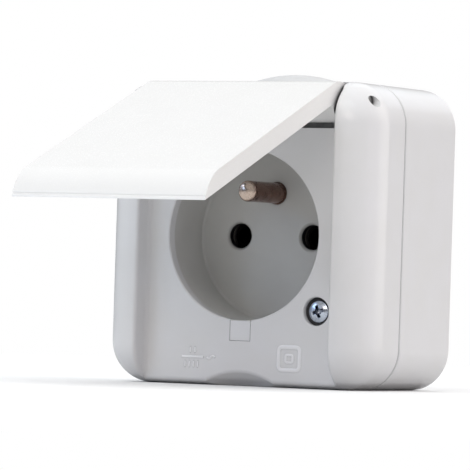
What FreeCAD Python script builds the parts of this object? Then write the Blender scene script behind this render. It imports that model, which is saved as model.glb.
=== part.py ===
import FreeCAD, Part
import math
import os
import re
import Sketcher
from FreeCAD import Placement, Rotation, Vector

# Surface-mounted splash-proof wall socket: back box, front cover with two raised jambs,
# and a lid hinged between them at the top. Millimetres; X to the right, +Y into the wall,
# +Z up. The origin is the middle of the flat back, which lies on the wall at Y = 0.
# Depths are given as distances out from the wall, so a depth of 10 lies at Y = -10.

doc = FreeCAD.newDocument("socket")

driving_sizes = [
    ("body_width", 69.5, "box and cover, across"),
    ("body_height", 69.5, "box and cover, upright"),
    ("body_depth", 41.0, "wall to the front of the jambs"),
    ("corner_round", 9.6, "corners of the outline, seen from the front"),
    ("front_round", 8.8, "rounding between the sides and the front"),
    ("wall", 2.4, "walls of box and cover"),
    ("back_wall", 1.8, "back of the box"),
    ("cover_depth", 16.8, "rim of the box to the jamb fronts"),
    ("joint_gap", 0.3, "gap between the box rim and the cover"),
    ("joint_edge", 0.3, "outer edges of box and cover along that gap"),
    ("seal_inset", 0.7, "outer face to the seal groove"),
    ("seal_width", 0.9, "width of the joint seal"),
    ("seal_depth", 1.2, "depth of the seal groove"),
    ("fit_gap", 0.05, "clearance of pins and screws in their holes"),
    ("plate_drop", 4.8, "jamb fronts to the plate"),
    ("plate_thick", 2.4, "thickness of the plate"),
    ("jamb_width", 9.7, "each jamb, across"),
    ("channel_round", 1.0, "inner corner of plate and jamb"),
    ("jamb_round", 0.8, "inner front edge of the jambs"),
    ("jamb_skin", 3.6, "outer skin left round the hollow jambs"),
    ("well_drop", 0.35, "well centre below the middle of the body"),
    ("well_side", 5.55, "plate between the well and each jamb"),
    ("well_headroom", 0.7, "cup of the well below the shell of the trough"),
    ("well_depth", 15.0, "plate face to the floor of the well"),
    ("well_wall", 1.8, "wall of the cup"),
    ("well_floor", 2.2, "floor of the cup"),
    ("rim_chamfer", 0.25, "edge of the plate round the well"),
    ("floor_round", 0.6, "between the wall and the floor of the well"),
    ("foot_round", 1.2, "lower edge of the plate"),
    ("edge_reach", 2.0, "length of the plate beside that edge that its cutter spans"),
    ("key_width", 5.2, "key of the cup, in a notch of the plate"),
    ("key_height", 4.55, "key of the cup, below the mouth"),
    ("key_length", 7.0, "key of the cup, front to back"),
    ("key_gap", 0.1, "gap round the key"),
    ("pin_spacing", 19.0, "between the two pin holes"),
    ("pin_hole_radius", 2.9, "pin holes in the well floor"),
    ("pin_hole_mouth", 0.5, "chamfer of the pin holes"),
    ("earth_rise", 10.0, "earth pin above the pin holes"),
    ("earth_radius", 2.4, "earth pin"),
    ("earth_length", 14.4, "earth pin above the well floor"),
    ("earth_round", 0.8, "tip of the earth pin"),
    ("earth_foot", 2.58, "radius of the pin's foot in the well floor"),
    ("earth_step", 0.4, "foot of the earth pin above the well floor"),
    ("earth_collar", 3.8, "radius of the collar behind the well floor"),
    ("earth_neck", 1.5, "radius of the riveted neck"),
    ("rivet_radius", 2.0, "radius of the rivet head"),
    ("rivet_height", 1.0, "height of the rivet head"),
    ("hinge_sink", 5.5, "jamb fronts to the hinge axis"),
    ("hinge_drop", 4.5, "top of the body down to the hinge axis"),
    ("hinge_pin_radius", 1.2, "hinge pin"),
    ("hinge_pin_left", 3.95, "side of the body to the left end of the hinge pin"),
    ("hinge_pin_right", 3.55, "side of the body to the right end of the hinge pin"),
    ("barrel_radius", 4.9, "barrel of the lid"),
    ("trough_radius", 6.2, "trough of the cover round the barrel"),
    ("lid_gap", 0.6, "lid to each jamb"),
    ("lid_sink", 0.25, "jamb fronts to the face of the closed lid"),
    ("lid_clear", 0.3, "closed lid in front of the plate"),
    ("lid_foot", 0.1, "bottom of the body up to the end of the closed lid"),
    ("lid_top", 4.1, "closed lid above the hinge axis"),
    ("lid_skin", 2.0, "face of the lid"),
    ("lid_side", 1.8, "side walls of the lid"),
    ("lip_round", 9.3, "curve of the lip"),
    ("lid_open", 67.0, "opening of the lid, degrees"),
    ("lid_seal_width", 1.7, "ring of the lid seal, across"),
    ("lid_seal_side", 0.45, "lid seal to the side walls of the lid"),
    ("lid_seal_headroom", 1.5, "lid seal below the web of the barrel"),
    ("lid_seal_clear", 0.15, "closed lid seal in front of the plate"),
    ("lid_rib_width", 1.2, "rib that locates the lid seal"),
    ("lid_rib_height", 1.2, "the same rib, above the inside of the lid"),
    ("screw_side", 19.5, "cover screws from the middle, sideways"),
    ("screw_rise", 16.9, "cover screws from the well centre, upright"),
    ("screw_sink", 0.75, "screw heads below the plate"),
    ("head_radius", 2.5, "head of a cover screw"),
    ("head_height", 1.6, "head of a cover screw"),
    ("shank_radius", 1.45, "all screw shanks"),
    ("shank_length", 22.85, "cover screw below its head"),
    ("counterbore_radius", 3.25, "sink for a cover screw head"),
    ("sink_edge", 0.2, "edge of that sink"),
    ("seal_floor", 0.9, "rubber under a cover screw head"),
    ("seal_wall", 0.9, "height of the rubber round a cover screw head"),
    ("post_radius", 3.6, "posts under the cover screws"),
    ("boss_radius", 4.4, "bosses behind the plate"),
    ("web_thick", 1.6, "webs between posts and walls"),
    ("web_drop", 6.2, "webs below the rim of the box"),
    ("fixing_spacing", 46.0, "wall-screw holes, both ways"),
    ("fixing_radius", 2.1, "wall-screw holes"),
    ("fixing_pad", 4.2, "raised ring round a wall-screw hole"),
    ("fixing_rise", 0.8, "height of that ring"),
    ("scoop_radius", 22.0, "finger scoop under the lip"),
    ("scoop_rise", 3.3, "bottom of the body up to the top of the scoop"),
    ("scoop_slope", 35.8, "scoop runs down towards the wall, degrees"),
    ("scoop_round", 1.0, "edge of the scoop"),
    ("gland_shift", 0.1, "axis of the cable grommet in front of the middle of the box"),
    ("gland_margin", 1.1, "flange of the grommet from the front and back of the box"),
    ("gland_step", 2.5, "flange of the grommet beyond its hole"),
    ("gland_edge", 0.6, "edge height of the grommet"),
    ("gland_rise", 2.65, "height of the grommet"),
    ("gland_grip", 1.3, "lip of the grommet beyond its hole"),
    ("gland_lip_height", 1.2, "height of that lip"),
    ("gland_skin", 1.2, "skin of the grommet"),
    ("gland_neck", 3.0, "stem of the grommet below its lip"),
    ("carrier_half", 15.5, "contact carrier, half its width"),
    ("carrier_margin", 3.0, "carrier above the lower wall of the box"),
    ("carrier_head", 17.0, "well centre up to the carrier's shoulders"),
    ("carrier_arm", 7.5, "half width of the earth arm"),
    ("carrier_round", 1.5, "corners of the carrier"),
    ("cap_thick", 2.6, "cap behind the carrier"),
    ("sleeve_inner", 2.45, "inside of a contact sleeve"),
    ("sleeve_wall", 0.5, "sheet of a contact sleeve"),
    ("sleeve_gap", 0.6, "cap to the back of the sleeves"),
    ("sleeve_slot", 0.9, "slots that part the two leaves"),
    ("sleeve_room", 3.7, "bore for a sleeve in the carrier"),
    ("clip_thick", 0.4, "clip spring, sheet"),
    ("clip_start", 0.26, "share of a sleeve behind its clip spring"),
    ("clip_share", 0.34, "share of a sleeve inside its clip spring"),
    ("clip_opening", 2.6, "gap of the clip spring"),
    ("strap_sink", 2.4, "back of the cup to the back of the straps"),
    ("strap_thick", 0.8, "straps"),
    ("strap_half", 2.4, "half width of the straps"),
    ("strap_inset", 1.6, "ends of the carrier to the ends of the straps"),
    ("terminal_inset", 4.6, "ends of the carrier to the terminals"),
    ("clamp_half", 3.5, "half width of a terminal block"),
    ("clamp_tall", 3.4, "half height of a terminal block"),
    ("clamp_floor", 1.0, "cap to the back of a terminal block"),
    ("clamp_room", 0.2, "gap round a terminal block"),
    ("wire_bore", 1.7, "wire hole of a terminal block"),
    ("terminal_head", 2.4, "head of a terminal screw"),
    ("terminal_head_height", 1.8, "head of a terminal screw"),
    ("terminal_clear", 0.2, "tip of a terminal screw before the wire hole"),
    ("fastener_side", 11.0, "carrier screws from the middle"),
    ("fastener_rise", 12.5, "well centre up to the carrier screws"),
    ("fastener_head", 2.8, "head of a carrier screw"),
    ("fastener_head_height", 2.1, "head of a carrier screw"),
    ("fastener_sink", 3.2, "back of the cup to the seat of a carrier screw"),
    ("fastener_clear", 1.8, "back of the box to the tip of a carrier screw"),
    ("stud_radius", 3.0, "studs of the box under the carrier"),
    ("stud_extra", 1.0, "studs beyond half way to the carrier screws' seats"),
    ("stud_room", 0.2, "gap round the studs"),
    ("slot_width", 0.9, "driver slots"),
    ("slot_depth", 0.8, "driver slots"),
    ("slot_share", 0.75, "share of the head that a cross slot spans"),
    ("head_bevel", 0.4, "bevel of the screw heads"),
    ("run_out", 1.0, "length by which a cut runs out of its piece"),
]

# Sizes and places that follow from them. The well fits between the jambs and under the trough of
# the hinge, and the lid's seal fits inside the lid.
derived_sizes = [
    ("half_width", "body_width / 2", "middle of the body to its side"),
    ("half_height", "body_height / 2", "middle of the body to its top"),
    ("box_depth", "body_depth - cover_depth", "wall to the rim of the box"),
    ("cover_back", "box_depth + joint_gap", "wall to the back of the cover"),
    ("channel_width", "body_width - 2 * jamb_width", "between the jambs"),
    ("plate_out", "body_depth - plate_drop", "wall to the face of the plate"),
    ("plate_back", "plate_out - plate_thick", "wall to the back of the plate"),
    ("hinge_out", "body_depth - hinge_sink", "wall to the hinge axis"),
    ("hinge_rise", "half_height - hinge_drop", "middle of the body up to the hinge axis"),
    ("trough_floor", "hinge_out - trough_radius - wall", "wall to the back of the trough"),
    ("cavity_top", "hinge_rise - trough_radius - wall", "middle of the body up to the trough's shell"),
    ("well_radius", "min(channel_width / 2 - well_side; cavity_top + well_drop - well_wall - well_headroom)",
     "mouth of the well"),
    ("floor_out", "plate_out - well_depth", "wall to the floor of the well"),
    ("cup_back", "floor_out - well_floor", "wall to the back of the cup"),
    ("pin_side", "pin_spacing / 2", "middle to a pin hole"),
    ("lid_front", "body_depth - lid_sink", "wall to the face of the closed lid"),
    ("lid_width", "channel_width - 2 * lid_gap", "lid, across"),
    ("lid_reach", "body_height - hinge_drop - lid_foot", "hinge axis to the end of the lip"),
    ("lid_seal_outer", "min(lid_width / 2 - lid_side - lid_seal_side;"
     " hinge_rise + well_drop - barrel_radius - lid_skin - lid_seal_headroom)",
     "outer radius of the lid seal"),
    ("lid_seal_inner", "lid_seal_outer - lid_seal_width", "inner radius of the lid seal"),
    ("screw_seat", "plate_out - screw_sink - head_height", "wall to the seat of a cover screw"),
    ("shank_bottom", "screw_seat - shank_length", "wall to the tip of a cover screw"),
    ("gland_out", "box_depth / 2 + gland_shift", "wall to the axis of the cable grommet"),
    ("gland_flange", "box_depth / 2 - gland_margin", "radius of the grommet on the box"),
    ("gland_hole", "gland_flange - gland_step", "hole for the grommet"),
    ("gland_lip", "gland_hole + gland_grip", "radius of the lip under the wall"),
    ("gland_stem", "wall + fit_gap + gland_lip_height + gland_neck", "top of the box to the end of the stem"),
    ("carrier_back", "back_wall + cap_thick", "wall to the back of the carrier"),
    ("carrier_foot", "wall + carrier_margin - half_height", "height of the carrier's lower edge"),
    ("carrier_top", "half_height - gland_stem - fit_gap", "height of the end of the earth arm"),
    ("strap_out", "cup_back - strap_sink", "wall to the back of the straps"),
    ("sleeve_back", "carrier_back + sleeve_gap", "wall to the back of the sleeves"),
    ("clip_back", "sleeve_back + clip_start * (strap_out - sleeve_back)",
     "wall to the back of a clip spring"),
    ("clip_depth", "clip_share * (strap_out - sleeve_back)", "clip spring, front to back"),
    ("clamp_depth", "strap_out - carrier_back - clamp_floor", "terminal block, front to back"),
    ("wire_out", "strap_out - clamp_depth / 2", "wall to the wire holes"),
    ("terminal_tip", "wire_out + wire_bore + terminal_clear", "wall to the tip of a terminal screw"),
    ("terminal_seat", "strap_out + strap_thick", "wall to the seat of a terminal screw"),
    ("live_terminal", "carrier_foot + terminal_inset", "height of the live terminals"),
    ("earth_terminal", "carrier_top - terminal_inset", "height of the earth terminal"),
    ("fastener_seat", "cup_back - fastener_sink", "wall to the seat of a carrier screw"),
    ("fastener_tip", "back_wall + fastener_clear", "wall to the tip of a carrier screw"),
    ("stud_top", "(fastener_seat + back_wall) / 2 + stud_extra", "wall to the top of the studs"),
]

sheet = doc.addObject("Spreadsheet::Sheet", "Sizes")
for row, (alias, size, note) in enumerate(driving_sizes + derived_sizes, start=1):
    sheet.set("A%d" % row, "=" + size if isinstance(size, str) else str(size))
    sheet.setAlias("A%d" % row, alias)
    sheet.set("B%d" % row, note)
doc.recompute()

aliases = {alias for alias, size, note in driving_sizes + derived_sizes}


def bound(formula):
    """Formula with each size written as a cell of the sheet."""
    return re.sub(r"[a-z_]+", lambda word: ("Sizes." if word[0] in aliases else "") + word[0], str(formula))


def number(formula):
    """Present value of a formula."""
    return float(sheet.evalExpression(str(formula)))


def tie(thing, name, formula):
    """Bind one property to the sheet."""
    thing.setExpression(name, bound(formula))


def minus(formula):
    """Formula with its sign changed."""
    return "(-1 * %s)" % formula


# Sketches

def sketch_on(body, name, role, across="0", upright="0", out="0"):
    """Sketch on one of the body's origin planes, moved in the plane and along its normal."""
    plane = [item for item in body.Origin.OriginFeatures if item.Role == role][0]
    sketch = body.newObject("Sketcher::SketchObject", name)
    sketch.AttachmentSupport = [(plane, "")]
    sketch.MapMode = "FlatFace"
    sketch.AttachmentOffset = Placement(Vector(number(across), number(upright), number(out)), Rotation())
    for axis, formula in (("x", across), ("y", upright), ("z", out)):
        tie(sketch, "AttachmentOffset.Base." + axis, formula)
    return sketch


def front_sketch(body, name, out="0", x="0", z="0"):
    """Sketch seen from the front, at a distance out from the wall."""
    return sketch_on(body, name, "XZ_Plane", x, z, out)


def side_sketch(body, name, x="0", y="0", z="0"):
    """Sketch in a plane across X: its first direction is +Y, its second +Z."""
    return sketch_on(body, name, "YZ_Plane", y, z, x)


def top_sketch(body, name, z="0", x="0", y="0"):
    """Sketch in a level plane."""
    return sketch_on(body, name, "XY_Plane", x, y, z)


def hold_point(sketch, item, end, across, upright):
    """Hold one point of a sketch at two formulas from the sketch's origin."""
    for kind, formula, axis in (("DistanceX", across, -2), ("DistanceY", upright, -1)):
        size = number(formula)
        if abs(size) < 1e-9:
            sketch.addConstraint(Sketcher.Constraint("PointOnObject", item, end, axis))
            continue
        if size > 0:
            index = sketch.addConstraint(Sketcher.Constraint(kind, -1, 1, item, end, size))
        else:
            index = sketch.addConstraint(Sketcher.Constraint(kind, item, end, -1, 1, -size))
            formula = minus(formula)
        tie(sketch, "Constraints[%d]" % index, formula)


def hold_radius(sketch, item, formula):
    """Bind the radius of a circle or arc."""
    index = sketch.addConstraint(Sketcher.Constraint("Radius", item, number(formula)))
    tie(sketch, "Constraints[%d]" % index, formula)


def draw_circle(sketch, radius, across="0", upright="0"):
    """Circle with its centre and radius bound to the sheet."""
    centre = Vector(number(across), number(upright), 0)
    item = sketch.addGeometry(Part.Circle(centre, Vector(0, 0, 1), number(radius)), False)
    hold_radius(sketch, item, radius)
    hold_point(sketch, item, 3, across, upright)


def draw_outline(sketch, corners):
    """Closed outline through corners (across, upright[, round]); a round is a tangent arc."""
    spots = [Vector(number(corner[0]), number(corner[1]), 0) for corner in corners]
    rounds = [number(corner[2]) if len(corner) > 2 else 0.0 for corner in corners]
    count = len(corners)
    setbacks = []
    for index in range(count):
        back = (spots[index - 1] - spots[index]).normalize()
        ahead = (spots[(index + 1) % count] - spots[index]).normalize()
        opening = back.getAngle(ahead)
        setbacks.append(rounds[index] / math.tan(opening / 2))
    lines = []
    for index in range(count):
        after = (index + 1) % count
        along = (spots[after] - spots[index]).normalize()
        start = spots[index] + along * setbacks[index]
        finish = spots[after] - along * setbacks[after]
        lines.append(sketch.addGeometry(Part.LineSegment(start, finish), False))
    for index in range(count):
        before, here = lines[index - 1], lines[index]
        if rounds[index] == 0:
            sketch.addConstraint(Sketcher.Constraint("Coincident", before, 2, here, 1))
            hold_point(sketch, here, 1, corners[index][0], corners[index][1])
            continue
        arrive = sketch.Geometry[before].EndPoint
        leave = sketch.Geometry[here].StartPoint
        inward = ((arrive + leave) * 0.5 - spots[index]).normalize()
        centre = spots[index] + inward * math.hypot(rounds[index], setbacks[index])
        turns_left = (spots[index] - spots[index - 1]).cross(leave - spots[index]).z > 0
        first, last = (arrive, leave) if turns_left else (leave, arrive)
        angles = [math.atan2(spot.y - centre.y, spot.x - centre.x) for spot in (first, last)]
        circle = Part.Circle(centre, Vector(0, 0, 1), rounds[index])
        item = sketch.addGeometry(Part.ArcOfCircle(circle, angles[0], angles[1]), False)
        ends = (1, 2) if turns_left else (2, 1)
        sketch.addConstraint(Sketcher.Constraint("Tangent", before, 2, item, ends[0]))
        sketch.addConstraint(Sketcher.Constraint("Tangent", here, 1, item, ends[1]))
        hold_radius(sketch, item, corners[index][2])
        corner = sketch.addGeometry(Part.Point(spots[index]), True)
        hold_point(sketch, corner, 1, corners[index][0], corners[index][1])
        sketch.addConstraint(Sketcher.Constraint("PointOnObject", corner, 1, before))
        sketch.addConstraint(Sketcher.Constraint("PointOnObject", corner, 1, here))


def draw_rectangle(sketch, left, right, low, high, rounding=None):
    """Upright rectangle, with rounded corners where a rounding is given."""
    tail = [rounding] if rounding else []
    draw_outline(sketch, [[left, low] + tail, [right, low] + tail, [right, high] + tail, [left, high] + tail])


def draw_body_outline(sketch, inset="0"):
    """Outline of the body seen from the front, moved inwards by an inset."""
    across = "(body_width / 2 - %s)" % inset
    upright = "(body_height / 2 - %s)" % inset
    draw_rectangle(sketch, minus(across), across, minus(upright), upright, "(corner_round - %s)" % inset)


# Features

def new_body(label):
    """Empty body with its node's name."""
    body = doc.addObject("PartDesign::Body", label)
    body.Label = label
    return body


def pad(body, sketch, length, back=False, both=False):
    """Pad along the sketch's normal, against it, or half to each side."""
    feature = body.newObject("PartDesign::Pad", sketch.Name + "_pad")
    feature.Profile = sketch
    feature.Reversed = back
    if both:
        feature.SideType = "Symmetric"
    tie(feature, "Length", length)
    return finish(body, feature, 1)


def pocket(body, sketch, length=None, ahead=False, both=False):
    """Pocket against the sketch's normal, along it, or half to each side."""
    feature = body.newObject("PartDesign::Pocket", sketch.Name + "_pocket")
    feature.Profile = sketch
    feature.Reversed = ahead
    if both:
        feature.SideType = "Symmetric"
    if length is None:
        feature.Type = "ThroughAll"
    else:
        tie(feature, "Length", length)
    return finish(body, feature, -1)


def revolve(body, sketch, axis):
    """Revolution round an axis of the sketch."""
    feature = body.newObject("PartDesign::Revolution", sketch.Name + "_turn")
    feature.Profile = sketch
    feature.ReferenceAxis = (sketch, [axis])
    feature.Angle = 360
    return finish(body, feature, 1)


def dress(body, kind, name, size, chosen):
    """Fillet or chamfer on the edges of the tip that pass a test."""
    base = body.Tip
    names = ["Edge%d" % (index + 1) for index, edge in enumerate(base.Shape.Edges) if chosen(edge)]
    feature = body.newObject("PartDesign::" + kind, name)
    feature.Base = (base, names)
    tie(feature, "Radius" if kind == "Fillet" else "Size", size)
    return finish(body, feature, 0)


def finish(body, feature, sign):
    """Make a feature the tip, and stop if it failed or changed nothing."""
    before = body.Shape.Volume if not body.Shape.isNull() else 0.0
    body.Tip = feature
    doc.recompute()
    change = body.Shape.Volume - before
    if "Invalid" in feature.State or "Error" in feature.State or body.Shape.isNull():
        raise RuntimeError("%s failed" % feature.Name)
    if abs(change) < 1e-6 or sign * change < 0:
        raise RuntimeError("%s changed the volume by %.4f" % (feature.Name, change))
    return feature


def in_plane(level, radius=None):
    """Test for edges in the plane Y = level, or only for those of one radius there."""
    def chosen(edge):
        box = edge.BoundBox
        flat = abs(box.YMin - level) < 0.01 and abs(box.YMax - level) < 0.01
        fits = radius is None or (hasattr(edge.Curve, "Radius") and abs(edge.Curve.Radius - radius) < 0.01)
        return flat and fits
    return chosen


# Simple solids

def rod(name, x, out, z, radius, length):
    """Cylinder that runs from a distance out towards the front."""
    item = doc.addObject("Part::Cylinder", name)
    item.Placement = Placement(Vector(), Rotation(Vector(1, 0, 0), 90))
    tie(item, "Radius", radius)
    tie(item, "Height", length)
    tie(item, "Placement.Base.x", x)
    tie(item, "Placement.Base.y", minus(out))
    tie(item, "Placement.Base.z", z)
    return item


def block(name, left, right, back, front, low, high):
    """Box between six planes; back and front are distances out from the wall."""
    item = doc.addObject("Part::Box", name)
    tie(item, "Length", "(%s - %s)" % (right, left))
    tie(item, "Width", "(%s - %s)" % (front, back))
    tie(item, "Height", "(%s - %s)" % (high, low))
    tie(item, "Placement.Base.x", left)
    tie(item, "Placement.Base.y", minus(front))
    tie(item, "Placement.Base.z", low)
    return item


def joined(name, *items):
    """Union of solids."""
    union = doc.addObject("Part::MultiFuse", name)
    union.Shapes = list(items)
    union.Refine = True
    return union


def less(name, base, *tools):
    """Base with the tools cut out of it."""
    for index, tool in enumerate(tools):
        cut = doc.addObject("Part::Cut", name if index == len(tools) - 1 else "%s_%d" % (name, index))
        cut.Base = base
        cut.Tool = tool
        cut.Refine = True
        base = cut
    return base


def group(label, items):
    """Separate solids that share one node."""
    compound = doc.addObject("Part::Compound", label)
    compound.Links = items
    compound.Label = label
    return compound


cover_screw_spots = [("screw_side", "(-1 * well_drop - screw_rise)"),
                     (minus("screw_side"), "(screw_rise - well_drop)")]
fastener_spots = [("fastener_side", "(fastener_rise - well_drop)"),
                  (minus("fastener_side"), "(fastener_rise - well_drop)")]
terminal_spots = [("pin_side", "live_terminal"), (minus("pin_side"), "live_terminal"),
                  ("0", "earth_terminal")]
fixing_spots = [("(fixing_spacing / %d)" % across, "(fixing_spacing / %d)" % upright)
                for across in (2, -2) for upright in (2, -2)]


# Back box: open tray with a seal groove in its rim, posts for the cover screws, studs for
# the carrier screws, raised rings round the wall-screw holes and the grommet hole on top.

def make_back_box():
    body = new_body("back_box")
    outline = front_sketch(body, "box_outline")
    draw_body_outline(outline)
    pad(body, outline, "box_depth")
    dress(body, "Chamfer", "box_joint_edge", "joint_edge", in_plane(-number("box_depth")))

    inside = front_sketch(body, "box_inside", "box_depth")
    draw_body_outline(inside, "wall")
    pocket(body, inside, "(box_depth - back_wall)")

    groove = front_sketch(body, "box_groove", "box_depth")
    draw_body_outline(groove, "(seal_inset - fit_gap)")
    draw_body_outline(groove, "(seal_inset + seal_width + fit_gap)")
    pocket(body, groove, "seal_depth")

    rings = front_sketch(body, "box_rings", "back_wall")
    for across, upright in fixing_spots:
        draw_circle(rings, "fixing_pad", across, upright)
    pad(body, rings, "fixing_rise")

    studs = front_sketch(body, "box_studs", "back_wall")
    for across, upright in fastener_spots:
        draw_circle(studs, "stud_radius", across, upright)
    pad(body, studs, "(stud_top - back_wall)")

    webs = front_sketch(body, "box_webs", "back_wall")
    outer = "(half_width - wall / 2)"
    for (across, upright), start, end in ((cover_screw_spots[0], "screw_side", outer),
                                          (cover_screw_spots[1], minus(outer), minus("screw_side"))):
        low = "(%s - web_thick / 2)" % upright
        high = "(%s + web_thick / 2)" % upright
        draw_rectangle(webs, start, end, low, high)
    pad(body, webs, "(box_depth - web_drop - back_wall)")

    posts = front_sketch(body, "box_posts", "back_wall")
    for across, upright in cover_screw_spots:
        draw_circle(posts, "post_radius", across, upright)
    pad(body, posts, "(cover_back - back_wall)")

    taps = front_sketch(body, "box_post_holes", "cover_back")
    for across, upright in cover_screw_spots:
        draw_circle(taps, "(shank_radius + fit_gap)", across, upright)
    pocket(body, taps, "(cover_back - shank_bottom + run_out)")

    stud_taps = front_sketch(body, "box_stud_holes", "stud_top")
    for across, upright in fastener_spots:
        draw_circle(stud_taps, "(shank_radius + fit_gap)", across, upright)
    pocket(body, stud_taps, "(stud_top - fastener_tip + fit_gap)")

    fixings = front_sketch(body, "box_fixings", "(back_wall + fixing_rise)")
    for across, upright in fixing_spots:
        draw_circle(fixings, "fixing_radius", across, upright)
    pocket(body, fixings)

    entry = top_sketch(body, "box_entry", "half_height", "0", minus("gland_out"))
    draw_circle(entry, "gland_hole")
    pocket(body, entry, "(wall + run_out)")
    return body


# Front cover: a rounded cap whose front is cut back between two hollow jambs to a flat plate.

def make_front_cover():
    body = new_body("front_cover")
    outline = front_sketch(body, "cover_outline", "cover_back")
    draw_body_outline(outline)
    pad(body, outline, "(body_depth - cover_back)")
    dress(body, "Fillet", "cover_front_round", "front_round", in_plane(-number("body_depth")))
    dress(body, "Chamfer", "cover_joint_edge", "joint_edge", in_plane(-number("cover_back")))

    channel = top_sketch(body, "cover_channel", "half_height")
    side = "(channel_width / 2)"
    over = "(-1 * body_depth - run_out)"
    draw_outline(channel, [(minus(side), over), (side, over),
                           (side, minus("plate_out"), "channel_round"),
                           (minus(side), minus("plate_out"), "channel_round")])
    pocket(body, channel)
    reach = number(side)
    middle = -number("plate_out") - number("plate_drop") / 2

    def on_jamb_front(edge):
        box = edge.BoundBox
        in_wall = abs(abs(box.XMin) - reach) < 0.01 and box.XLength < 0.01
        return in_wall and edge.CenterOfMass.y < middle and box.ZLength > number("jamb_round")

    dress(body, "Fillet", "cover_jamb_round", "jamb_round", on_jamb_front)

    trough = side_sketch(body, "cover_trough", "0", minus("hinge_out"), "hinge_rise")
    draw_circle(trough, "trough_radius")
    pocket(body, trough, "channel_width", both=True)

    inner = "(half_width - wall)"
    lower = "(wall - half_height)"
    cavity = front_sketch(body, "cover_cavity", "cover_back")
    inner_round = "(corner_round - wall)"
    draw_outline(cavity, [(minus(inner), lower, inner_round), (inner, lower, inner_round),
                          (inner, "cavity_top"), (minus(inner), "cavity_top")])
    pocket(body, cavity, "(plate_back - cover_back)", ahead=True)

    upper = front_sketch(body, "cover_upper_cavity", "cover_back")
    roof = "(half_height - wall)"
    draw_outline(upper, [(minus(inner), "(cavity_top - wall)"), (inner, "(cavity_top - wall)"),
                         (inner, roof, inner_round), (minus(inner), roof, inner_round)])
    pocket(body, upper, "(trough_floor - cover_back)", ahead=True)

    jambs = front_sketch(body, "cover_jamb_hollows", "plate_back")
    near = "(channel_width / 2 + wall)"
    far = "(half_width - jamb_skin)"
    foot = "(2 * jamb_skin - half_height)"
    for left, right in ((near, far), (minus(far), minus(near))):
        draw_rectangle(jambs, left, right, foot, "cavity_top")
    pocket(body, jambs, "(body_depth - jamb_skin - plate_back)", ahead=True)

    bosses = front_sketch(body, "cover_bosses", "cover_back")
    for across, upright in cover_screw_spots:
        draw_circle(bosses, "boss_radius", across, upright)
    pad(body, bosses, "(plate_back - cover_back)")

    mouth = front_sketch(body, "cover_mouth", "plate_out", "0", minus("well_drop"))
    draw_circle(mouth, "well_radius")
    pocket(body, mouth, "(plate_thick + run_out)")
    level = -number("plate_out")
    dress(body, "Chamfer", "cover_mouth_edge", "rim_chamfer", in_plane(level, number("well_radius")))

    notch = front_sketch(body, "cover_notch", "plate_out", "0", minus("well_drop"))
    notch_half = "(key_width / 2 + key_gap)"
    draw_rectangle(notch, minus(notch_half), notch_half,
                   "(-1 * well_radius - key_height - key_gap)", "(-1 * well_radius + key_width / 2)")
    pocket(body, notch, "(plate_thick + run_out)")

    sinks = front_sketch(body, "cover_sinks", "plate_out")
    for across, upright in cover_screw_spots:
        draw_circle(sinks, "counterbore_radius", across, upright)
    pocket(body, sinks, "(screw_sink + head_height + seal_floor)")
    dress(body, "Chamfer", "cover_sink_edges", "sink_edge", in_plane(level, number("counterbore_radius")))

    holes = front_sketch(body, "cover_screw_holes", "plate_out")
    for across, upright in cover_screw_spots:
        draw_circle(holes, "(shank_radius + 4 * fit_gap)", across, upright)
    pocket(body, holes)

    hinge = side_sketch(body, "cover_hinge_holes", "(hinge_pin_left - half_width)",
                        minus("hinge_out"), "hinge_rise")
    draw_circle(hinge, "(hinge_pin_radius + fit_gap)")
    pocket(body, hinge, ahead=True)

    scoop = front_sketch(body, "cover_scoop", "plate_out", "0", "(scoop_rise - half_height)")
    scoop.AttachmentOffset = Placement(scoop.AttachmentOffset.Base,
                                       Rotation(Vector(1, 0, 0), -number("scoop_slope")))
    tie(scoop, "AttachmentOffset.Rotation.Angle", minus("scoop_slope"))
    draw_circle(scoop, "scoop_radius", "0", minus("scoop_radius"))
    pocket(body, scoop)
    top = number("scoop_rise") - number("half_height")
    at_plate = in_plane(level)
    dress(body, "Fillet", "cover_scoop_edge", "scoop_round",
          lambda edge: at_plate(edge) and abs(edge.BoundBox.ZMax - top) < 0.05
          and edge.BoundBox.XLength > number("scoop_radius") / 4)

    foot = side_sketch(body, "cover_foot")
    tangent = "sqrt(front_round ^ 2 - (front_round - plate_drop) ^ 2)"
    edge = "(front_round - half_height - %s)" % tangent
    before, beyond = "(-1 * plate_out - run_out)", "(edge_reach * %s / front_round - plate_out)" % tangent
    above, below = "(%s + edge_reach)" % edge, "(-1 * half_height - run_out)"
    slant = "(%s - edge_reach * (front_round - plate_drop) / front_round)" % edge
    draw_outline(foot, [(before, above), (minus("plate_out"), above),
                        (minus("plate_out"), edge, "foot_round"), (beyond, slant),
                        (beyond, below), (before, below)])
    pocket(body, foot, "channel_width", both=True)
    return body


# Lid, drawn closed about its hinge axis: +Z up along the lid's back, then turned open.

def set_on_hinge(body):
    """Put a body drawn about the hinge axis in its place, turned to the lid's opening."""
    body.Placement = Placement(Vector(), Rotation(Vector(-1, 0, 0), number("lid_open")))
    tie(body, "Placement.Base.y", minus("hinge_out"))
    tie(body, "Placement.Base.z", "hinge_rise")
    tie(body, "Placement.Rotation.Angle", "lid_open")


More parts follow.
